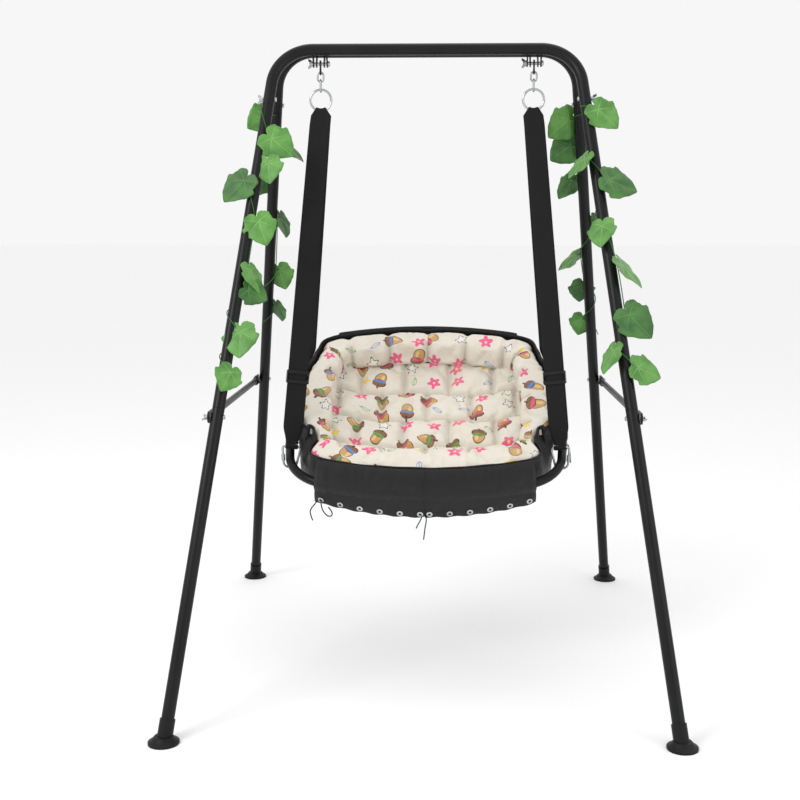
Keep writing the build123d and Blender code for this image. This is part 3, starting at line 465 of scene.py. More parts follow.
webbing_cloth = cloth_finish("webbing_cloth", (0.0022, 0.0022, 0.0024), (0.007, 0.007, 0.0075), 0.62, 420.0,
                             560.0, 0.0004, sheen=0.03, dust=0.03)
cover_nylon = cloth_finish("cover_nylon", (0.003, 0.003, 0.0034), (0.006, 0.006, 0.0066), 0.38, 1500.0,
                           1500.0, 0.00020, sheen=0.04, creases=44.0, dust=0.02, gloss=0.32)
lace_braid = cloth_finish("lace_braid", (0.003, 0.003, 0.003), (0.008, 0.008, 0.008), 0.6, 900.0, 700.0,
                          0.0002, sheen=0.05, mapped=False)
for lace in lace_pieces:
    lace.data.materials.append(lace_braid)
give_finish(frame["nodes"]["lacing"].data, lace_braid)

# %% [markdown]
# ## Printed cotton
# The cushion is cream cotton, printed with scattered motifs about 30 to 50 mm across: acorns with
# striped caps, pink flowers, stars and small leaves. A Voronoi texture deals out one cell per motif and
# says where its middle is, so each motif can be drawn from the distance and angle to that middle, and
# the cell's random colour turns it and picks which one it is.


# %% Printed motifs
def make_print():
    """The cushion's small motifs, as a colour."""
    tree, takes, gives = new_group("printed_motifs", [("Vector", VECTOR, None), ("Cell", FLOAT, 0.064)],
                                   [("Colour", COLOUR)])
    scaled = tree.nodes.new("ShaderNodeVectorMath")
    scaled.operation = "SCALE"
    link(tree, takes.outputs["Vector"], scaled.inputs[0])
    per_metre = tree.nodes.new("ShaderNodeMath")
    per_metre.operation = "DIVIDE"
    per_metre.inputs[0].default_value = 1.0
    link(tree, takes.outputs["Cell"], per_metre.inputs[1])
    link(tree, per_metre.outputs[0], scaled.inputs["Scale"])
    cells = tree.nodes.new("ShaderNodeTexVoronoi")
    cells.voronoi_dimensions = "2D"
    cells.inputs["Scale"].default_value = 1.0
    cells.inputs["Randomness"].default_value = 0.52
    link(tree, scaled.outputs["Vector"], cells.inputs["Vector"])
    local = tree.nodes.new("ShaderNodeVectorMath")
    local.operation = "SUBTRACT"
    link(tree, scaled.outputs["Vector"], local.inputs[0])
    link(tree, cells.outputs["Position"], local.inputs[1])
    spot = tree.nodes.new("ShaderNodeSeparateXYZ")
    link(tree, local.outputs["Vector"], spot.inputs[0])
    chance = tree.nodes.new("ShaderNodeSeparateColor")
    link(tree, cells.outputs["Color"], chance.inputs[0])
    pick, turn, tint = (Value(tree, chance.outputs[k]) for k in ("Red", "Green", "Blue"))
    angle = turn * 6.2832
    x0, y0 = Value(tree, spot.outputs["X"]) * 0.84, Value(tree, spot.outputs["Y"]) * 0.84
    x = x0 * angle.do("COSINE") + y0 * angle.do("SINE")
    y = y0 * angle.do("COSINE") - x0 * angle.do("SINE")
    radius = (x * x + y * y).do("SQRT")
    around = y.do("ARCTAN2", x)
    five = (around * 5.0).do("COSINE")

    def ellipse(cx, cy, rx, ry):
        dx, dy = (x - cx) / rx, (y - cy) / ry
        return (dx * dx + dy * dy).do("SQRT")

    def between(low, high):
        return pick.above(low) * pick.below(high)

    colour = (0.74, 0.69, 0.60)
    layers = []
    # Acorn: nut, cap, coloured band under the cap, stalk and a dark outline.
    acorn = between(-1.0, 0.42)
    nut, cap = ellipse(0.0, -0.07, 0.20, 0.27), ellipse(0.0, 0.13, 0.25, 0.15)
    layers.append((acorn * nut.below(1.0), (0.10, 0.035, 0.012)))
    layers.append((acorn * nut.below(0.88), (0.56, 0.32, 0.105)))
    shine = ellipse(-0.07, -0.10, 0.05, 0.12)
    layers.append((acorn * shine.below(1.0), (0.74, 0.52, 0.24)))
    stalk = (x.do("ABSOLUTE")).below(0.035) * y.above(0.2) * y.below(0.36)
    layers.append((acorn * cap.below(1.0), (0.085, 0.03, 0.012)))
    layers.append((acorn * cap.below(0.84), (0.24, 0.095, 0.035)))
    layers.append((acorn * stalk, (0.085, 0.03, 0.012)))
    band = acorn * ellipse(0.0, 0.06, 0.235, 0.05).below(1.0)
    layers.append((band * tint.below(0.34), (0.09, 0.34, 0.07)))
    layers.append((band * tint.above(0.34) * tint.below(0.67), (0.09, 0.22, 0.55)))
    layers.append((band * tint.above(0.67), (0.80, 0.07, 0.20)))
    # Pink flower with five round petals.
    flower = between(0.42, 0.60)
    petals = radius / (five * 0.055 + 0.185)
    layers.append((flower * petals.below(1.0), (0.80, 0.10, 0.27)))
    layers.append((flower * radius.below(0.045), (0.92, 0.62, 0.20)))
    # Outlined star and small solid star.
    points = radius / (five.do("ABSOLUTE") * 0.03 + five * 0.045 + 0.15)
    hollow = between(0.60, 0.74)
    layers.append((hollow * points.below(1.0), (0.05, 0.05, 0.075)))
    layers.append((hollow * points.below(0.82), (0.80, 0.77, 0.72)))
    solid = between(0.74, 0.86)
    layers.append((solid * (points * 1.35).below(1.0), (0.80, 0.58, 0.09)))
    # Leaf drawn as a thin loop with a midrib.
    leaf = between(0.86, 2.0)
    blade = ellipse(0.0, 0.0, 0.085, 0.19)
    rib = (x.do("ABSOLUTE")).below(0.012) * y.above(-0.24) * y.below(0.15)
    line = (blade.below(1.0) * blade.above(0.80) + rib).do("MINIMUM", 1.0)
    layers.append((leaf * line * tint.below(0.5), (0.14, 0.38, 0.12)))
    layers.append((leaf * line * tint.above(0.5), (0.13, 0.26, 0.55)))
    for mask, paint in layers:
        colour = blend_colours(tree, mask, colour, paint)
    link(tree, colour, gives.inputs["Colour"])
    return tree


print_group = make_print()


def printed_cotton():
    """The cushion's cloth."""
    material, tree, shader = start_material("printed_cotton", Sheen_Weight=0.2, Sheen_Roughness=0.5,
                                            Roughness=0.85)
    shader.inputs["Subsurface Weight"].default_value = 0.0
    place = tree.nodes.new("ShaderNodeUVMap").outputs["UV"]
    motifs = use_group(tree, print_group, Vector=place)
    weave = use_group(tree, weave_group, Vector=place, Along=1300.0, Across=1300.0)
    blotch = noise(tree, place, 16.0, 4.0)
    tanned = blend_colours(tree, blotch.soft(0.48, 0.72) * 0.30, motifs.outputs["Colour"], (0.64, 0.49, 0.33))
    shade = Value(tree, weave.outputs["Shade"]) * 0.06
    colour = blend_colours(tree, shade, tanned, (0.45, 0.40, 0.33))
    # Painted shade: along the stored seam values the cotton is darkened towards brown. This is a stitch line
    # plus painted shade in the creases beside the seams and tufts.
    seam = tree.nodes.new("ShaderNodeAttribute")
    seam.attribute_name = "seam"
    colour = blend_colours(tree, Value(tree, seam.outputs["Fac"]) * 0.45, colour, (0.20, 0.15, 0.10))
    link(tree, colour, shader.inputs["Base Color"])
    puckers = noise(tree, place, 34.0, 4.0)
    height = Value(tree, weave.outputs["Height"]) * 0.35 + puckers * 6.0
    add_bump(tree, shader, height, 0.00022)
    return material


cotton = printed_cotton()
print("print group has", len(print_group.nodes), "nodes")

# %% [markdown]
# ## Mesh helpers
# Soft pieces are laid out as grids, because a grid keeps its surface map when it is bent, and cloth
# simulation can run straight on it.


# %% Mesh helpers
def grid_mesh(name, points, spots, closed_s, closed_t, caps=()):
    """Mesh from points[s][t] with a surface map in metres from spots[s][t]."""
    points = np.asarray(points, float)
    spots = np.asarray(spots, float)
    count_s, count_t = points.shape[:2]
    mesh = bpy.data.meshes.new(name)
    faces, maps = [], []
    for i in range(count_s if closed_s else count_s - 1):
        for j in range(count_t if closed_t else count_t - 1):
            corners = ((i, j), (i + 1, j), (i + 1, j + 1), (i, j + 1))
            faces.append([(a % count_s) * count_t + b % count_t for a, b in corners])
            maps.append([map_spot(spots, a, b, count_s, count_t) for a, b in corners])
    for i in caps:
        ring = [i * count_t + j for j in range(count_t)]
        faces.append(ring if i else ring[::-1])
        maps.append([tuple(spots[i][k % count_t]) for k in (range(count_t) if i else range(count_t)[::-1])])
    mesh.from_pydata(points.reshape(-1, 3).tolist(), [], faces)
    layer = mesh.uv_layers.new(name="surface")
    layer.data.foreach_set("uv", [c for face in maps for spot in face for c in spot])
    for polygon in mesh.polygons:
        polygon.use_smooth = True
    mesh.validate()
    piece = bpy.data.objects.new(name, mesh)
    scene.collection.objects.link(piece)
    return piece


def map_spot(spots, a, b, count_s, count_t):
    """Map coordinate of a grid corner, carried on past the seam of a closed grid."""
    s, t = spots[a % count_s][b % count_t]
    if a >= count_s:
        s = spots[-1][b % count_t][0] + spots[1][b % count_t][0] - spots[0][b % count_t][0]
    if b >= count_t:
        t = spots[a % count_s][-1][1] + spots[a % count_s][1][1] - spots[a % count_s][0][1]
    return (s, t)


def finish_piece(piece, body, slot, material, *nodes):
    """Gives a drawn piece its material and body, and hides the measured pieces it replaces. The slot is not
    used.
    """
    piece.data.materials.append(material)
    if nodes:
        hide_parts(*nodes)
    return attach(piece, body)


def subdivide_once(piece):
    """Rounds a piece with one subdivision."""
    soften = piece.modifiers.new("soften", "SUBSURF")
    soften.levels = soften.render_levels = 1


def smooth_step(value, low, high):
    """0 below low, 1 above high, smooth between."""
    share = np.clip((value - low) / (high - low), 0.0, 1.0)
    return share * share * (3 - 2 * share)


def ripple(a, b, seed):
    """A repeatable, smooth, made-up wave of about one unit, for cloth that is never quite even."""
    return (math.sin(a * 31.0 + seed) * 0.4 + math.sin(a * 73.0 + b * 40.0 + seed * 2.3) * 0.3
            + math.sin(b * 61.0 - a * 17.0 + seed * 4.1) * 0.3)


def rim_height(v):
    """Height of the shell's rim over the hoop's plane, at a place along the seat."""
    reach = HOOP_DEEP - SHELL_INSET
    return RIM_FRONT + (RIM_BACK - RIM_FRONT) * (v + reach) / (2 * reach)


WEBBING_STATIONS = [HALF_ROUND / 2 - WEBBING_ROUND, HALF_ROUND / 2 + WEBBING_ROUND,
                    1.5 * HALF_ROUND - WEBBING_ROUND, 1.5 * HALF_ROUND + WEBBING_ROUND]


def webbing_dent(station, height):
    """How far the soft wall is pushed in where the webbing and links pass it."""
    push = 0.0
    for place in WEBBING_STATIONS:
        front = HALF_ROUND / 2 < place < 1.5 * HALF_ROUND
        away = abs(station - place)
        away = min(away, 2 * HALF_ROUND - away)
        if front:
            depth = 0.003 + 0.036 * smooth_step(height, -0.012, 0.060)
        else:
            depth = 0.003 + 0.011 * smooth_step(height, -0.012, 0.030)
        push = max(push, depth * (1 - smooth_step(away, 0.018, 0.085)))
    return push


# %% [markdown]
# ## Black shell
# A tray of black nylon over foam hangs inside the hoop. Its wall is one skin swept round the hoop,
# rolled over at the rim into a piped edge, and its floor is the same skin carried in to the middle. It
# is pushed in where the webbing and links pass.


# %% Shell
def shell_skin():
    """The swept skin of the tray."""
    sections, spots = [], []
    count = 260
    for i in range(count):
        station = 2 * HALF_ROUND * i / count
        spot, out = hoop_walk(station)
        top = rim_height(spot.y)
        notch = 0.004 * math.exp(-((min(station, 2 * HALF_ROUND - station)) / 0.02) ** 2)
        top = top - notch + 0.0012 * ripple(station, 0, 2.0)
        profile = [(-0.300, -0.0365), (-0.200, -0.0375), (-0.100, -0.0380), (-0.045, -0.0380),
                   (-0.028, -0.0365), (-0.0225, -0.030), (-0.0212, -0.015), (-0.021, 0.005),
                   (-0.021, 0.025), (-0.021, top - 0.02), (-0.0195, top - 0.008), (-0.020, top - 0.002),
                   (-0.0225, top), (-0.0250, top - 0.002), (-0.0255, top - 0.008), (-0.024, top - 0.02),
                   (-0.024, 0.0), (-0.024, -0.034), (-0.060, -0.035), (-0.300, -0.0345)]
        section, row, run = [], [], 0.0
        for k, (offset, height) in enumerate(profile):
            if height > -0.034:
                offset = offset - webbing_dent(station, height) + 0.0008 * ripple(station, height, 5.0)
            if offset < -0.05:
                share = (-offset - 0.05) / 0.25
                middle = Vector((spot.x, spot.y)) * (1 - share) * 0.86
                section.append(seat_matrix @ Vector((middle.x, middle.y, height)))
            else:
                place = (spot.x + out.x * offset, spot.y + out.y * offset, height)
                section.append(seat_matrix @ Vector(place))
            if k:
                run += (section[-1] - section[-2]).length
            row.append((station, run))
        sections.append(section)
        spots.append(row)
    return grid_mesh("shell_cover", sections, spots, True, False)


shell = finish_piece(shell_skin(), "seat", "apron_black", cover_nylon, "shell_tray")
print("shell", len(shell.data.vertices), "points")

# %% [markdown]
# ## Laced covers
# Padded flaps go over the rim, slope out to the tube, wrap round it and hang below it, where eyelets
# take the lace. A flap is a closed sleeve: an outer skin and an inner one, a few millimetres apart,
# swept along its stretch of the hoop, with soft bulges between the eyelets, a scalloped laced edge and
# a crease under the tube. The front is in two halves tucked in where they meet in the middle.

# %% Covers
APRON_OUT = 0.0155
FRONT_HALF, BACK_HALF, SIDE_HALF = 0.268, 0.250, 0.092


def laced_edge(u, hangs_lower):
    """Height of an apron's lower edge at a place across it."""
    if not hangs_lower:
        return -0.049
    return -0.066 + 0.017 * (u / FRONT_HALF) ** 2


def station_at(limit):
    """Distance round the hoop at which the cover's outer face passes a limit across."""
    reach = limit * 0.9
    while abs(hoop_walk(reach)[0].x + hoop_walk(reach)[1].x * APRON_OUT) < limit:
        reach += 0.0005
    return reach


def cover_profile(top, edge, bulge, gather):
    """Outer skin of a cover as (outwards, up), from the rim inside down to the laced edge."""
    return [(-0.0195, top - 0.012), (-0.0185, top - 0.003), (-0.0145, top + 0.0008), (-0.0085, top - 0.002),
            (-0.002 + bulge, top - 0.010), (0.004 + bulge * 1.3, top * 0.66), (0.009 + bulge, top * 0.42),
            (0.0128 + gather * 0.4, 0.012), (0.0152, 0.003), (0.0153, -0.006), (0.0138, -0.0125),
            (0.0127, -0.0165), (0.0138 + gather, -0.0225), (0.0150, edge + 0.020), (0.0153, edge + 0.012),
            (0.0153, edge + 0.005), (0.0150, edge + 0.0015), (0.0140, edge)]


def make_cover(name, first, last, hangs_lower, lace_gap, seed, node):
    """One apron, over the tube and down to its laced edge."""
    count = max(24, int(abs(last - first) / 0.006))
    outer_skin, spots = [], []
    for i in range(count + 1):
        share = i / count
        station = first + (last - first) * share
        spot, out = hoop_walk(station)
        side_end = min(share, 1 - share) * abs(last - first)
        puff = 0.0045 * math.sqrt(min(1.0, side_end / 0.02))
        wave = ripple(station, 0.0, seed)
        wrinkle = 0.0013 * math.sin(station * 235.0 + 3.0 * math.sin(station * 57.0 + seed))
        bulge = puff * (0.6 + 0.5 * wave) + wrinkle * min(1.0, side_end / 0.02)
        scallop = 0.0016 * math.cos(2 * math.pi * (station - first) / lace_gap)
        edge = laced_edge(spot.x, hangs_lower) + scallop
        skin = cover_profile(rim_height(spot.y), edge, bulge, 0.0016 * ripple(station, 0.3, seed + 3))
        inner = [(offset - 0.0028, height) for offset, height in reversed(skin[6:])]
        inner += [(skin[5][0] - 0.003, skin[5][1] - 0.001), (skin[4][0] - 0.003, skin[4][1] - 0.003),
                  (-0.0105, skin[2][1] - 0.0045), (-0.0165, skin[1][1] - 0.004)]
        tuck = 0.0020 * math.exp(-(side_end / 0.0035) ** 2)
        skin = [(offset - tuck, height) for offset, height in skin]
        section, row, run = [], [], 0.0
        for k, (offset, height) in enumerate(skin + inner):
            section.append(seat_matrix @ Vector((spot.x + out.x * offset, spot.y + out.y * offset, height)))
            if k:
                run += (section[-1] - section[-2]).length
            row.append((station, run))
        outer_skin.append(section)
        spots.append(row)
    cover = grid_mesh(name, outer_skin, spots, False, True, caps=(0, count))
    subdivide_once(cover)
    finish_piece(cover, "seat", "apron_black", cover_nylon, node)
    return cover


front_reach, back_reach = station_at(FRONT_HALF), station_at(BACK_HALF)
FIRST_EYELETS = 0.027
front_gap = (front_reach - FIRST_EYELETS) / 5
covers = [
    make_cover("cover_front_right", HALF_ROUND - front_reach, HALF_ROUND, True, front_gap, 1.0,
               "apron_front_right"),
    make_cover("cover_front_left", HALF_ROUND, HALF_ROUND + front_reach, True, front_gap, 2.0,
               "apron_front_left"),
    make_cover("cover_back", -back_reach, back_reach, True, 0.05, 3.0, "apron_back"),
    make_cover("cover_right", HALF_ROUND / 2 - SIDE_HALF, HALF_ROUND / 2 + SIDE_HALF, False, 0.038, 4.0,
               "apron_right"),
    make_cover("cover_left", 1.5 * HALF_ROUND - SIDE_HALF, 1.5 * HALF_ROUND + SIDE_HALF, False, 0.038, 5.0,
               "apron_left"),
]
print("covers", len(covers))

# %% [markdown]
# ## Stuffed cushion
# The cushion is a tufted pad inside a stuffed ring. Real ones are two sheets sewn together at seams
# and puffed up by filling, so the way here is the same: a grid slightly smaller than the finished
# cushion, held still along its seams and tufts, is blown up as cloth by an even pressure. The cloth
# has a little more width than it needs, which is what makes the puckers beside each seam.


# %% Cloth that fills out
def fill_out(piece, held, pressure, slack, cap):
    """Blows a closed grid up as cloth, with the vertices in held kept still."""
    rest = np.array([vertex.co for vertex in piece.data.vertices])
    group = piece.vertex_groups.new(name="held")
    for weight in sorted(set(np.round(held[held > 0.02], 2))):
        group.add([int(k) for k in np.nonzero(np.round(held, 2) == weight)[0]], float(weight), "REPLACE")
    cloth = piece.modifiers.new("filling", "CLOTH")
    settings = cloth.settings
    settings.quality = 5
    settings.mass = 0.15
    settings.tension_stiffness = settings.compression_stiffness = 12
    settings.shear_stiffness = 6
    settings.bending_stiffness = 0.12
    settings.use_pressure = True
    settings.uniform_pressure_force = pressure
    settings.shrink_min = -slack
    settings.vertex_group_mass = "held"
    settings.effector_weights.gravity = 0.0
    cloth.collision_settings.use_collision = False
    cloth.point_cache.frame_start = 1
    cloth.point_cache.frame_end = 20
    for step in range(1, 21):
        scene.frame_set(step)
    done = piece.evaluated_get(bpy.context.evaluated_depsgraph_get())
    moved = np.array([vertex.co for vertex in done.data.vertices])
    piece.modifiers.remove(cloth)
    scene.frame_set(1)
    step = moved - rest
    far = np.linalg.norm(step, axis=1)
    scale = np.where(far > cap, cap / np.maximum(far, 1e-9), 1.0)
    final = rest + step * scale[:, None]
    piece.data.vertices.foreach_set("co", final.ravel())
    piece.data.update()
    print(f"{piece.name}: cloth moved up to {1000 * min(far.max(), cap):.1f} mm")


def mark_seams_and_shade(piece, seam_and_shade_strengths):
    """Stores where the sewn lines and their creases are, so that the cotton can paint a stitch line and
    painted shade in the creases.
    """
    attribute = piece.data.attributes.new("seam", "FLOAT", "POINT")
    attribute.data.foreach_set("value", [float(strength) for strength in seam_and_shade_strengths])


# %% Stuffed ring
RING_WIDTH = 0.084
RING_PLEATS = 20


def stuffed_ring():
    """The cushion's stuffed rim, before it is filled."""
    count_s, count_t = 380, 52
    sections, spots, held, seam_and_crease_shade = [], [], [], []
    for i in range(count_s):
        station = 2 * HALF_ROUND * i / count_s
        spot, out = hoop_walk(station)
        top = rim_height(spot.y) + 0.003
        phase = (station / (2 * HALF_ROUND) * RING_PLEATS) % 1.0
        from_pleat = min(phase, 1 - phase) * 2 * HALF_ROUND / RING_PLEATS
        pinch = math.exp(-(from_pleat / 0.010) ** 2)
        belly = 0.05 * (1 - math.exp(-(from_pleat / 0.03) ** 2))
        section, row, hold = [], [], []
        for j in range(count_t):
            angle = 2 * math.pi * j / count_t
            c, s = math.cos(angle), math.sin(angle)
            across = math.copysign(abs(c) ** 0.78, c) * (RING_WIDTH / 2 - 0.003)
            middle = (top + 0.010) / 2
            up = math.copysign(abs(s) ** 0.80, s) * ((top - 0.010) / 2 - 0.003)
            inward = smooth_step(-c, -0.1, 0.9) * (1.0 if s > -0.6 else 0.4)
            squeeze = 1 - pinch * (0.10 + 0.20 * inward) + belly * inward
            offset = -0.025 - RING_WIDTH / 2 + across * squeeze
            height = middle + up * squeeze
            press = webbing_dent(station, height + 0.02)
            offset -= press * smooth_step(offset, -0.085, -0.03)
            section.append(seat_matrix @ Vector((spot.x + out.x * offset, spot.y + out.y * offset, height)))
            row.append((station * 0.86, angle / (2 * math.pi) * 0.25))
            seam = math.exp(-(((angle - math.pi * 1.12) % (2 * math.pi)) / 0.10) ** 2)
            still = max(1.0 if s < -0.8 else 0.0, 0.9 if press > 0.012 else 0.0)
            hold.append(max(pinch * (0.5 + 0.5 * inward), still, seam))
            # Dark stitch line at each pleat, plus painted shade spread over the pinched crease round it.
            line = math.exp(-(from_pleat / 0.0022) ** 2) + 0.35 * pinch
            seam_and_crease_shade.append(min(1.0, line * smooth_step(inward, 0.15, 0.6)))
        sections.append(section)
        spots.append(row)
        held.append(hold)
    ring = grid_mesh("cushion_ring", sections, spots, True, True)
    mark_seams_and_shade(ring, seam_and_crease_shade)
    return ring, np.array(held).ravel()


ring, ring_held = stuffed_ring()
fill_out(ring, ring_held, 5.0, 0.05, 0.012)
subdivide_once(ring)
finish_piece(ring, "seat", "cushion_print", cotton, "seat_bolster")

# %% Tufted pad
PAD_HALF_U, PAD_HALF_V = 0.262, 0.226
PAD_ROWS = [-0.232, -0.130, -0.012, 0.105, 0.232]
TUFT_PITCH = 0.118


def beside_column(u, shift):
    """Distance across from the nearest column of tufts."""
    place = (u / TUFT_PITCH + shift) % 1.0
    return min(place, 1 - place) * TUFT_PITCH


def pad_grooves(u, v):
    """How strongly a place on the pad is pulled down: 1 at a tuft, less along a seam."""
    pull = 0.0
    for row, (low, high) in enumerate(zip(PAD_ROWS, PAD_ROWS[1:])):
        if low <= v <= high:
            pull = max(pull, 0.72 * math.exp(-(beside_column(u, 0.5 * (row % 2)) / 0.008) ** 2))
    for row, edge in enumerate(PAD_ROWS[1:-1]):
        wave = edge + 0.006 * math.sin(u * 26.0 + row)
        away = v - wave
        pull = max(pull, 0.78 * math.exp(-(away / 0.008) ** 2))
        for shift in (0.0, 0.5):
            pull = max(pull, math.exp(-((beside_column(u, shift) / 0.011) ** 2 + (away / 0.011) ** 2)))
    return pull


def tufted_pad():
    """The cushion's pad, before it is filled."""
    count_u, count_v = 104, 88
    top, spots, held, seam_and_crease_shade = [], [], [], []
    for i in range(count_u):
        row, places, hold = [], [], []
        for j in range(2 * count_v):
            upper = j < count_v
            share_v = j / (count_v - 1) if upper else (2 * count_v - 1 - j) / (count_v - 1)
            a, b = 2 * i / (count_u - 1) - 1, 2 * share_v - 1
            u = a * PAD_HALF_U * (1 - 0.05 * b * b)
            v = b * PAD_HALF_V * (1 - 0.05 * a * a)
            edge = min(1 - abs(a), 1 - abs(b))
            crown = math.sqrt(min(1.0, max(0.0, edge) / 0.04))
            pull = pad_grooves(u, v)
            dish = 0.026 * ((u / PAD_HALF_U) ** 4 + (v / PAD_HALF_V) ** 4)
            height = -0.030 * crown - 0.002
            if upper:
                height = -0.012 + 0.014 * crown + dish - 0.021 * pull * crown
            row.append(seat_matrix @ Vector((u, v, height)))
            places.append((u, v if upper else -v - 0.6))
            hold.append(max(0.0 if upper else 1.0, 1.0 if edge < 0.03 else 0.0, pull))
            # Painted shade in the pulled-down grooves and tufts of the top face, along with their stitch
            # lines.
            seam_and_crease_shade.append(smooth_step(pull, 0.35, 1.05) if upper else 0.0)
        top.append(row)
        spots.append(places)
        held.append(hold)
    pad = grid_mesh("cushion_pad", top, spots, False, True, caps=(0, count_u - 1))
    mark_seams_and_shade(pad, seam_and_crease_shade)
    return pad, np.array(held).ravel()


pad, pad_held = tufted_pad()
fill_out(pad, pad_held, 5.0, 0.06, 0.014)
subdivide_once(pad)
finish_piece(pad, "seat", "cushion_print", cotton, "seat_pad")
print("cushion made")

# %% [markdown]
# ## Webbing
# Each side hangs on one length of 50 mm webbing that passes through the ring. It bunches into a curve
# over the ring's wire, runs straight down, turns to face its link, narrows and ends in a sewn loop
# round the link's bar. Sections placed along that line, each with its own width direction, make one
# smooth strip, and its surface map lets the weave follow the strip.

# %% Webbing lines
RING_X, RING_BOTTOM, RING_RADIUS, RING_WIRE = 0.265, 1.3899, 0.026, 0.006
HALF_WEB, HALF_END, WEB_THICK = 0.025, 0.0155, 0.0030
BUNCH_TURN = math.radians(33.0)
LINK_RISE, LOOP_BORE = 0.034, 0.00315
SADDLE_MEAN = RING_WIRE / 2 + 0.0012 + 0.0011
SADDLE_DEPTH = 0.019


class WebbingRun:
    """A straight run from the right-hand ring to the hoop, with its directions."""

    def __init__(self, side):
        spot, out = hoop_walk(HALF_ROUND / 2 - side * WEBBING_ROUND)
        self.side = side
        self.ring = Vector((RING_X, side * SADDLE_MEAN, RING_BOTTOM))
        self.hoop = seat_matrix @ Vector((spot.x, spot.y, 0))
        tube = seat_matrix.to_3x3() @ Vector((-out.y, out.x, 0))
        self.up = (self.ring - self.hoop).normalized()
        normal = (tube - self.up * tube.dot(self.up)).normalized()
        self.width = normal.cross(self.up).normalized()
        if self.width.x < 0:
            self.width = -self.width
        self.top_width = (Vector((1, 0, 0)) - self.up * self.up.x).normalized()
        self.length = (self.ring - self.hoop).length

    def section(self, height, share, half, count):
        """Points across the webbing at a height over the hoop."""
        width = (self.width * (1 - share) + self.top_width * share).normalized()
        middle = self.hoop + self.up * height
        return [middle + width * (half * (2 * k / (count - 1) - 1)) for k in range(count)]


def saddle_section(turn, depth, side, count):
    """Points across the bunched webbing: turn is where it is on its way over the wire."""
    points = []
    for k in range(count):
        angle = BUNCH_TURN * (2 * k / (count - 1) - 1)
        across = RING_RADIUS + (depth if depth else -SADDLE_MEAN * math.sin(turn))
        y = side * SADDLE_MEAN if depth else -SADDLE_MEAN * math.cos(turn)
        lean = side * depth * 0.19 if depth else 0.0
        z = RING_BOTTOM + RING_RADIUS - across * math.cos(angle)
        points.append(Vector((RING_X + across * math.sin(angle), y + lean, z)))
    return points


def webbing_sections(run, count):
    """Sections from the ring down to the loop, for one run."""
    sections = [saddle_section(0, depth, run.side, count) for depth in (0.0015, 0.005, 0.010, 0.0145, 0.019)]
    top = run.length - SADDLE_DEPTH
    flat_low = LINK_RISE + LOOP_BORE + 0.0032
    straight = 0.249 if run.side < 0 else 0.14
    for height in np.concatenate([np.linspace(top - 0.018, straight + 0.02, 34),
                                  np.linspace(straight, flat_low + 0.050, 14),
                                  np.linspace(flat_low + 0.042, flat_low, 7)]):
        share = max(0.0, min(1.0, (height - straight) / (top - 0.02 - straight)))
        narrow = float(smooth_step(height, flat_low + 0.002, flat_low + 0.046))
        half = HALF_END + (HALF_WEB - HALF_END) * narrow
        sections.append(run.section(height, share, half, count))
    return sections


front_run, rear_run = WebbingRun(-1), WebbingRun(1)
print("webbing runs", round(front_run.length, 4), round(rear_run.length, 4))


# %% Webbing strip
def strip_from_sections(name, sections, thick, mirror):
    """Closed strip with rounded selvedges round a list of sections."""
    rings, spots, run = [], [], 0.0
    total = len(sections)
    for i, section in enumerate(sections):
        before, after = sections[max(i - 1, 0)], sections[min(i + 1, total - 1)]
        count = len(section)
        if i:
            run += (section[count // 2] - sections[i - 1][count // 2]).length
        upper, lower = [], []
        for k, point in enumerate(section):
            along = (after[k] - before[k]).normalized()
            across = (section[min(k + 1, count - 1)] - section[max(k - 1, 0)]).normalized()
            normal = along.cross(across).normalized()
            taper = 0.45 if k in (0, count - 1) else 1.0
            upper.append(point + normal * thick / 2 * taper)
            lower.append(point - normal * thick / 2 * taper)
        length = (section[-1] - section[0]).length
        places = [(length * (k / (count - 1) - 0.5), run) for k in range(count)]
        ring_points = upper + lower[::-1]
        if mirror:
            ring_points = [Vector((-p.x, p.y, p.z)) for p in ring_points]
        rings.append(ring_points)
        spots.append(places + [(0.1 - s, t) for s, t in places[::-1]])
    return grid_mesh(name, rings, spots, False, True, caps=(0, total - 1))


def end_loop(run, name, mirror):
    """The sewn loop round the link's bar."""
    middle = run.hoop + run.up * LINK_RISE
    facing = run.width.cross(run.up).normalized()
    radius = LOOP_BORE + 0.0016
    sections = []
    for step in range(21):
        angle = math.radians(18 * step - 180)
        centre = middle + facing * radius * math.sin(angle) - run.up * radius * math.cos(angle)
        sections.append([centre + run.width * (HALF_END * (2 * k / 8 - 1)) for k in range(9)])
    return strip_from_sections(name, sections, 0.003, mirror)


for hand, name in ((1, "right"), (-1, "left")):
    mirror = hand < 0
    count = 13
    down = webbing_sections(rear_run, count)
    upward = webbing_sections(front_run, count)[::-1]
    over = [saddle_section(math.radians(turn), 0, 0, count) for turn in range(0, 181, 20)]
    strip = strip_from_sections("webbing_" + name, upward + over + down, WEB_THICK, mirror)
    finish_piece(strip, "seat", "webbing_black", webbing_cloth, "strap_" + name)
    for run, end in ((front_run, "front"), (rear_run, "rear")):
        loop = end_loop(run, f"webbing_loop_{end}_{name}", mirror)
        finish_piece(loop, "seat", "webbing_black", webbing_cloth)

# %% [markdown]
# ## Ivy
# A plastic garland is wound down each leg: a thin green wire with cloth leaves on short stalks. A leaf
# is a fan of points round its stalk whose reach rises and falls into five shallow, toothed lobes. It is
# folded a little along its veins and curls at the tip, and a stored value marks where the veins are, so
# that the material can paint them.

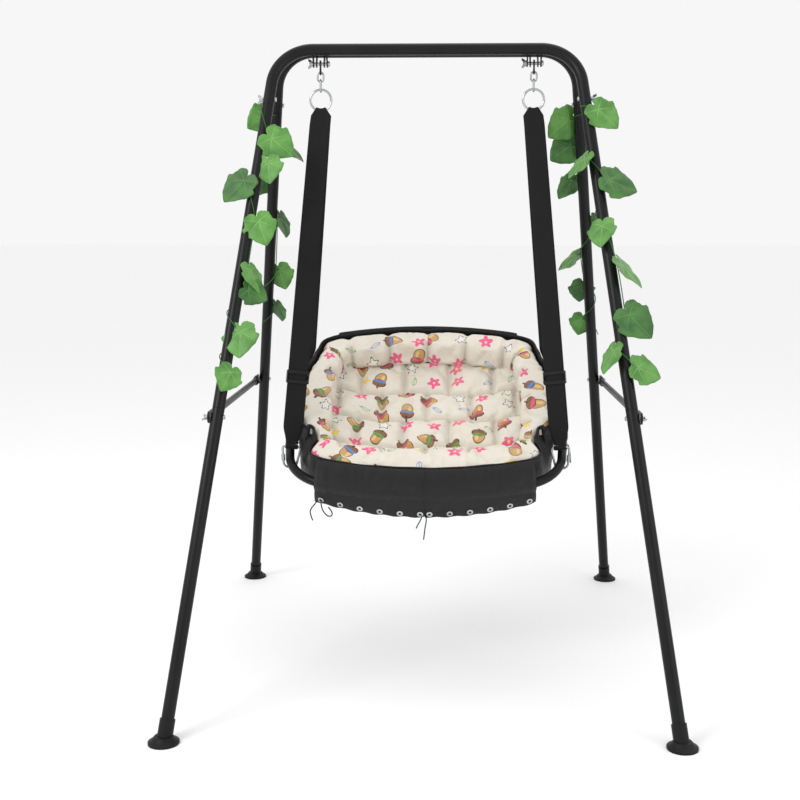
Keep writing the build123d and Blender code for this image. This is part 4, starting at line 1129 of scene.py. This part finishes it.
# %% Ivy material
def leaf_finish(name, dark, light, vein_colour, rough):
    """A leaf cloth with painted veins."""
    material, tree, shader = start_material(name, Sheen_Weight=0.15, Sheen_Roughness=0.4)
    vein = tree.nodes.new("ShaderNodeAttribute")
    vein.attribute_name = "vein"
    place = tree.nodes.new("ShaderNodeTexCoord").outputs["Object"]
    drift = noise(tree, place, 30.0, 4.0)
    body = blend_colours(tree, drift.soft(0.3, 0.7), dark, light)
    strength = Value(tree, vein.outputs["Fac"]).soft(0.25, 1.0) * 0.75
    link(tree, blend_colours(tree, strength, body, vein_colour), shader.inputs["Base Color"])
    link(tree, drift * 0.2 + (rough - 0.1), shader.inputs["Roughness"])
    fibres = noise(tree, place, 700.0, 2.0)
    add_bump(tree, shader, Value(tree, vein.outputs["Fac"]) * -1.5 + fibres * 0.4, 0.0004)
    return material


leaf_bright = leaf_finish("leaf_bright", (0.060, 0.20, 0.030), (0.12, 0.33, 0.060), (0.22, 0.46, 0.13), 0.5)
leaf_deep = leaf_finish("leaf_deep", (0.028, 0.105, 0.018), (0.060, 0.19, 0.035), (0.11, 0.28, 0.07), 0.5)
stem_green = hard_finish("stem_green", (0.02, 0.10, 0.015), (0.045, 0.17, 0.03), 0.55)

# %% Ivy leaves and stems
STAND_BAR_Z = 1.5357
IVY_WIND = 0.019
ivy_leaves = {
    ("front", -1): [(238, 58, 66, 62), (300, 62, 56, 18), (352, -64, 70, -35), (452, 60, 62, 30),
                    (575, 62, 58, 22), (622, 70, 50, 75), (726, 60, 66, 12), (826, 40, 52, -18)],
    ("rear", -1): [(160, -62, 62, -55), (232, 64, 66, 48), (338, -60, 58, -30), (438, 50, 60, 12),
                   (590, 66, 58, 25), (700, 56, 52, 14)],
    ("front", 1): [(168, 60, 66, 42), (292, -60, 60, -40), (352, 62, 74, 64), (470, -20, 56, -8),
                   (565, 58, 72, 28), (688, 62, 74, 38), (770, -58, 60, -20), (816, 64, 62, 66)],
    ("rear", 1): [(168, -66, 70, -62), (238, -60, 66, -72), (330, -64, 62, -38), (450, 56, 60, 22),
                  (545, -66, 66, -58), (640, -34, 56, -10), (742, -52, 52, -20)],
}
ivy_span = {("front", -1): (158, 860), ("rear", -1): (155, 745), ("front", 1): (158, 880),
            ("rear", 1): (155, 790)}


def leg_matrix(side, hand):
    """Frame on a leg's axis with Z down the leg."""
    corner = Vector((hand * 0.370, side * 0.019, STAND_BAR_Z))
    z = Vector((hand * 0.186, side * 0.598, -STAND_BAR_Z)).normalized()
    x = (Vector((1, 0, 0)) - z * z.x).normalized()
    y = z.cross(x)
    return Matrix.Translation(corner) @ Matrix((x, y, z)).transposed().to_4x4()


def round_leg(side, distance, bearing, radius):
    """A point on a turn round a leg."""
    turn = math.radians(bearing)
    return Vector((radius * math.sin(turn), -side * radius * math.cos(turn), distance))


def ivy_route(span, leaves):
    """Stops of the wire down the leg, passing the foot of every stalk."""
    stops = [(span[0], leaves[0][1] - 120)] + [(leaf[0], leaf[1]) for leaf in leaves]
    stops.append((span[1], leaves[-1][1] + 150))
    route = [stops[0]]
    for (here, at), (there, to) in zip(stops, stops[1:]):
        turn = (to - at) % 360
        start = route[-1][1]
        steps = max(1, math.ceil(turn / 60.0))
        route += [(here + (there - here) * k / steps, start + turn * k / steps) for k in range(1, steps + 1)]
    return route


LOBES = [(0.0, 1.0), (54.0, 0.72), (-54.0, 0.72), (112.0, 0.56), (-112.0, 0.56)]


def leaf_reach(degrees):
    """Distance from the stalk to the leaf's edge, in leaf lengths."""
    reach = 0.0
    for lobe, size in LOBES:
        away = abs((degrees - lobe + 180) % 360 - 180)
        reach = max(reach, size * (1 - 0.30 * (1 - math.exp(-(away / 26.0) ** 1.4))) * (away < 80))
    gap = abs(abs(degrees) - 180)
    teeth = 0.022 * (1 - abs(math.sin(math.radians(degrees * 7.5))))
    return (max(reach, 0.10) + teeth) * (1 - 0.5 * math.exp(-(gap / 16.0) ** 2))


def leaf_shape(name, length, curl, material, place):
    """A lobed leaf in XZ with its tip along Z, on a polar grid."""
    rays, rings = 96, 9
    points, spots, veins = [], [], []
    for i in range(rays):
        degrees = 360.0 * i / rays - 180.0
        nearest = min(abs((degrees - lobe + 180) % 360 - 180) for lobe, _ in LOBES)
        row, where = [], []
        for j in range(rings):
            share = j / (rings - 1)
            reach = leaf_reach(degrees) * length * share
            x, z = reach * math.sin(math.radians(degrees)), reach * math.cos(math.radians(degrees))
            off_vein = reach * math.radians(min(nearest, 60))
            fold = 0.0035 * (off_vein / 0.012) ** 2 / (1 + (off_vein / 0.012) ** 2)
            lift = fold + curl * (z / length) ** 2 * 0.25 * length - 0.1 * abs(x) ** 2 / length
            row.append(place @ Vector((x, lift, z)))
            where.append((x, z))
            fade = 1 - 0.6 * share
            veins.append(math.exp(-(off_vein / (0.0011 + 0.0006 * fade)) ** 2) * (0.35 + 0.65 * fade))
        points.append(row)
        spots.append(where)
    leaf = grid_mesh(name, points, spots, True, False)
    attribute = leaf.data.attributes.new("vein", "FLOAT", "POINT")
    attribute.data.foreach_set("value", veins)
    solid = leaf.modifiers.new("thickness", "SOLIDIFY")
    solid.thickness = 0.0006
    solid.offset = 0.0
    leaf.data.materials.append(material)
    return leaf


def make_garland(side_name, hand):
    """The wire, stalks and leaves on one leg."""
    side = -1 if side_name == "front" else 1
    word = "left" if hand < 0 else "right"
    at = leg_matrix(side, hand)
    leaves = ivy_leaves[side_name, hand]
    curve = bpy.data.curves.new("stem", "CURVE")
    curve.dimensions = "3D"
    curve.bevel_depth = 0.0012
    curve.bevel_resolution = 3
    turns = ivy_route(ivy_span[side_name, hand], leaves)
    wires = [[at @ round_leg(side, distance / 1000, bearing, IVY_WIND) for distance, bearing in turns]]
    for distance, bearing, _, _ in leaves:
        foot = round_leg(side, distance / 1000, bearing, IVY_WIND)
        base = round_leg(side, distance / 1000 + 0.0045, bearing, IVY_WIND + 0.009)
        wires.append([at @ foot, at @ ((foot + base) / 2 + Vector((0, 0, 0.002))), at @ base])
    for wire in wires:
        spline = curve.splines.new("NURBS")
        spline.points.add(len(wire) - 1)
        for spot, point in zip(spline.points, wire):
            spot.co = (*point, 1.0)
        spline.order_u = 3
        spline.use_endpoint_u = True
    stem_curve = bpy.data.objects.new("stem_curve", curve)
    scene.collection.objects.link(stem_curve)
    bpy.context.view_layer.update()
    mesh = bpy.data.meshes.new_from_object(stem_curve.evaluated_get(bpy.context.evaluated_depsgraph_get()))
    bpy.data.objects.remove(stem_curve)
    stem = bpy.data.objects.new(f"garland_{side_name}_{word}", mesh)
    scene.collection.objects.link(stem)
    mesh.materials.clear()
    body = f"{side_name}_frame"
    finish_piece(stem, body, "ivy_green", stem_green, f"ivy_{side_name}_{word}")
    for number, (distance, bearing, length, swing) in enumerate(leaves, 1):
        base = round_leg(side, distance / 1000 + 0.0045, bearing, IVY_WIND + 0.009)
        turned = (Matrix.Rotation(math.radians(side * bearing / 2), 4, "Z")
                  @ Matrix.Rotation(math.radians(swing), 4, "Y")
                  @ Matrix.Rotation(math.radians((-32, 12, 38, -8, 24)[number % 5]), 4, "Z")
                  @ Matrix.Rotation(math.radians(side * 12.0), 4, "X"))
        flip = Matrix.Scale(-side, 4, Vector((0, 1, 0)))
        place = at @ Matrix.Translation(base) @ turned @ flip
        deep = number % 3 == 0 or side_name == "rear" and number % 2 == 0
        leaf = leaf_shape(f"leaf_{side_name}_{word}_{number}", length / 1000, -0.25 + 0.12 * (number % 4),
                          leaf_deep if deep else leaf_bright, place)
        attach(leaf, body)
    return len(leaves)


total_leaves = sum(make_garland(side_name, hand) for side_name in ("front", "rear") for hand in (-1, 1))
print("leaves", total_leaves)

# %% [markdown]
# ## Smooth metal
# The measured pieces are triangle meshes. Rounded surfaces are shaded smoothly and crisp edges kept, by
# an angle limit.

# %% Smooth shading
for node_name, node in frame["nodes"].items():
    if not node.hide_render:
        node.data.shade_smooth()
        node.data.set_sharp_from_angle(angle=math.radians(32))

# %% [markdown]
# ## Floor and light
# A white studio: a pale floor that runs out of sight, a soft even sky and three large soft boxes. The
# one at the upper left is strongest, which gives the round tubes their long soft highlight.

# %% Floor and light
floor_mesh = bpy.data.meshes.new("floor")
reach = 200.0
floor_mesh.from_pydata([(-reach, -reach, 0), (reach, -reach, 0), (reach, reach, 0), (-reach, reach, 0)], [],
                       [(0, 1, 2, 3)])
floor = bpy.data.objects.new("floor", floor_mesh)
scene.collection.objects.link(floor)
floor_paint, _, floor_shader = start_material("floor_paint", Roughness=0.9)
floor_shader.inputs["Base Color"].default_value = (0.97, 0.97, 0.97, 1.0)
floor_shader.inputs["Specular IOR Level"].default_value = 0.1
floor_mesh.materials.append(floor_paint)

world = bpy.data.worlds.new("studio")
scene.world = world
world.use_nodes = True
world.node_tree.nodes["Background"].inputs["Color"].default_value = (1.0, 1.0, 1.0, 1.0)
world.node_tree.nodes["Background"].inputs["Strength"].default_value = 0.93
scene.view_settings.view_transform = "Standard"


def soft_box(name, place, target, size, power):
    """One rectangular soft light aimed at a point."""
    data = bpy.data.lights.new(name, "AREA")
    data.shape = "RECTANGLE"
    data.size, data.size_y = size
    data.energy = power
    lamp = bpy.data.objects.new(name, data)
    scene.collection.objects.link(lamp)
    lamp.location = place
    lamp.rotation_euler = (Vector(target) - Vector(place)).to_track_quat("-Z", "Y").to_euler()


soft_box("key", (-2.6, -2.6, 3.0), (0, 0, 0.8), (1.6, 1.6), 55)
soft_box("fill", (2.8, -2.2, 1.8), (0, 0, 0.8), (1.4, 2.0), 14)
soft_box("top", (0.0, 0.6, 3.6), (0, 0, 0.8), (2.0, 2.0), 12)
print("lights placed")

# %% [markdown]
# ## Last update
# The last step brings the view layer up to date.

# %% Finish
bpy.context.view_layer.update()
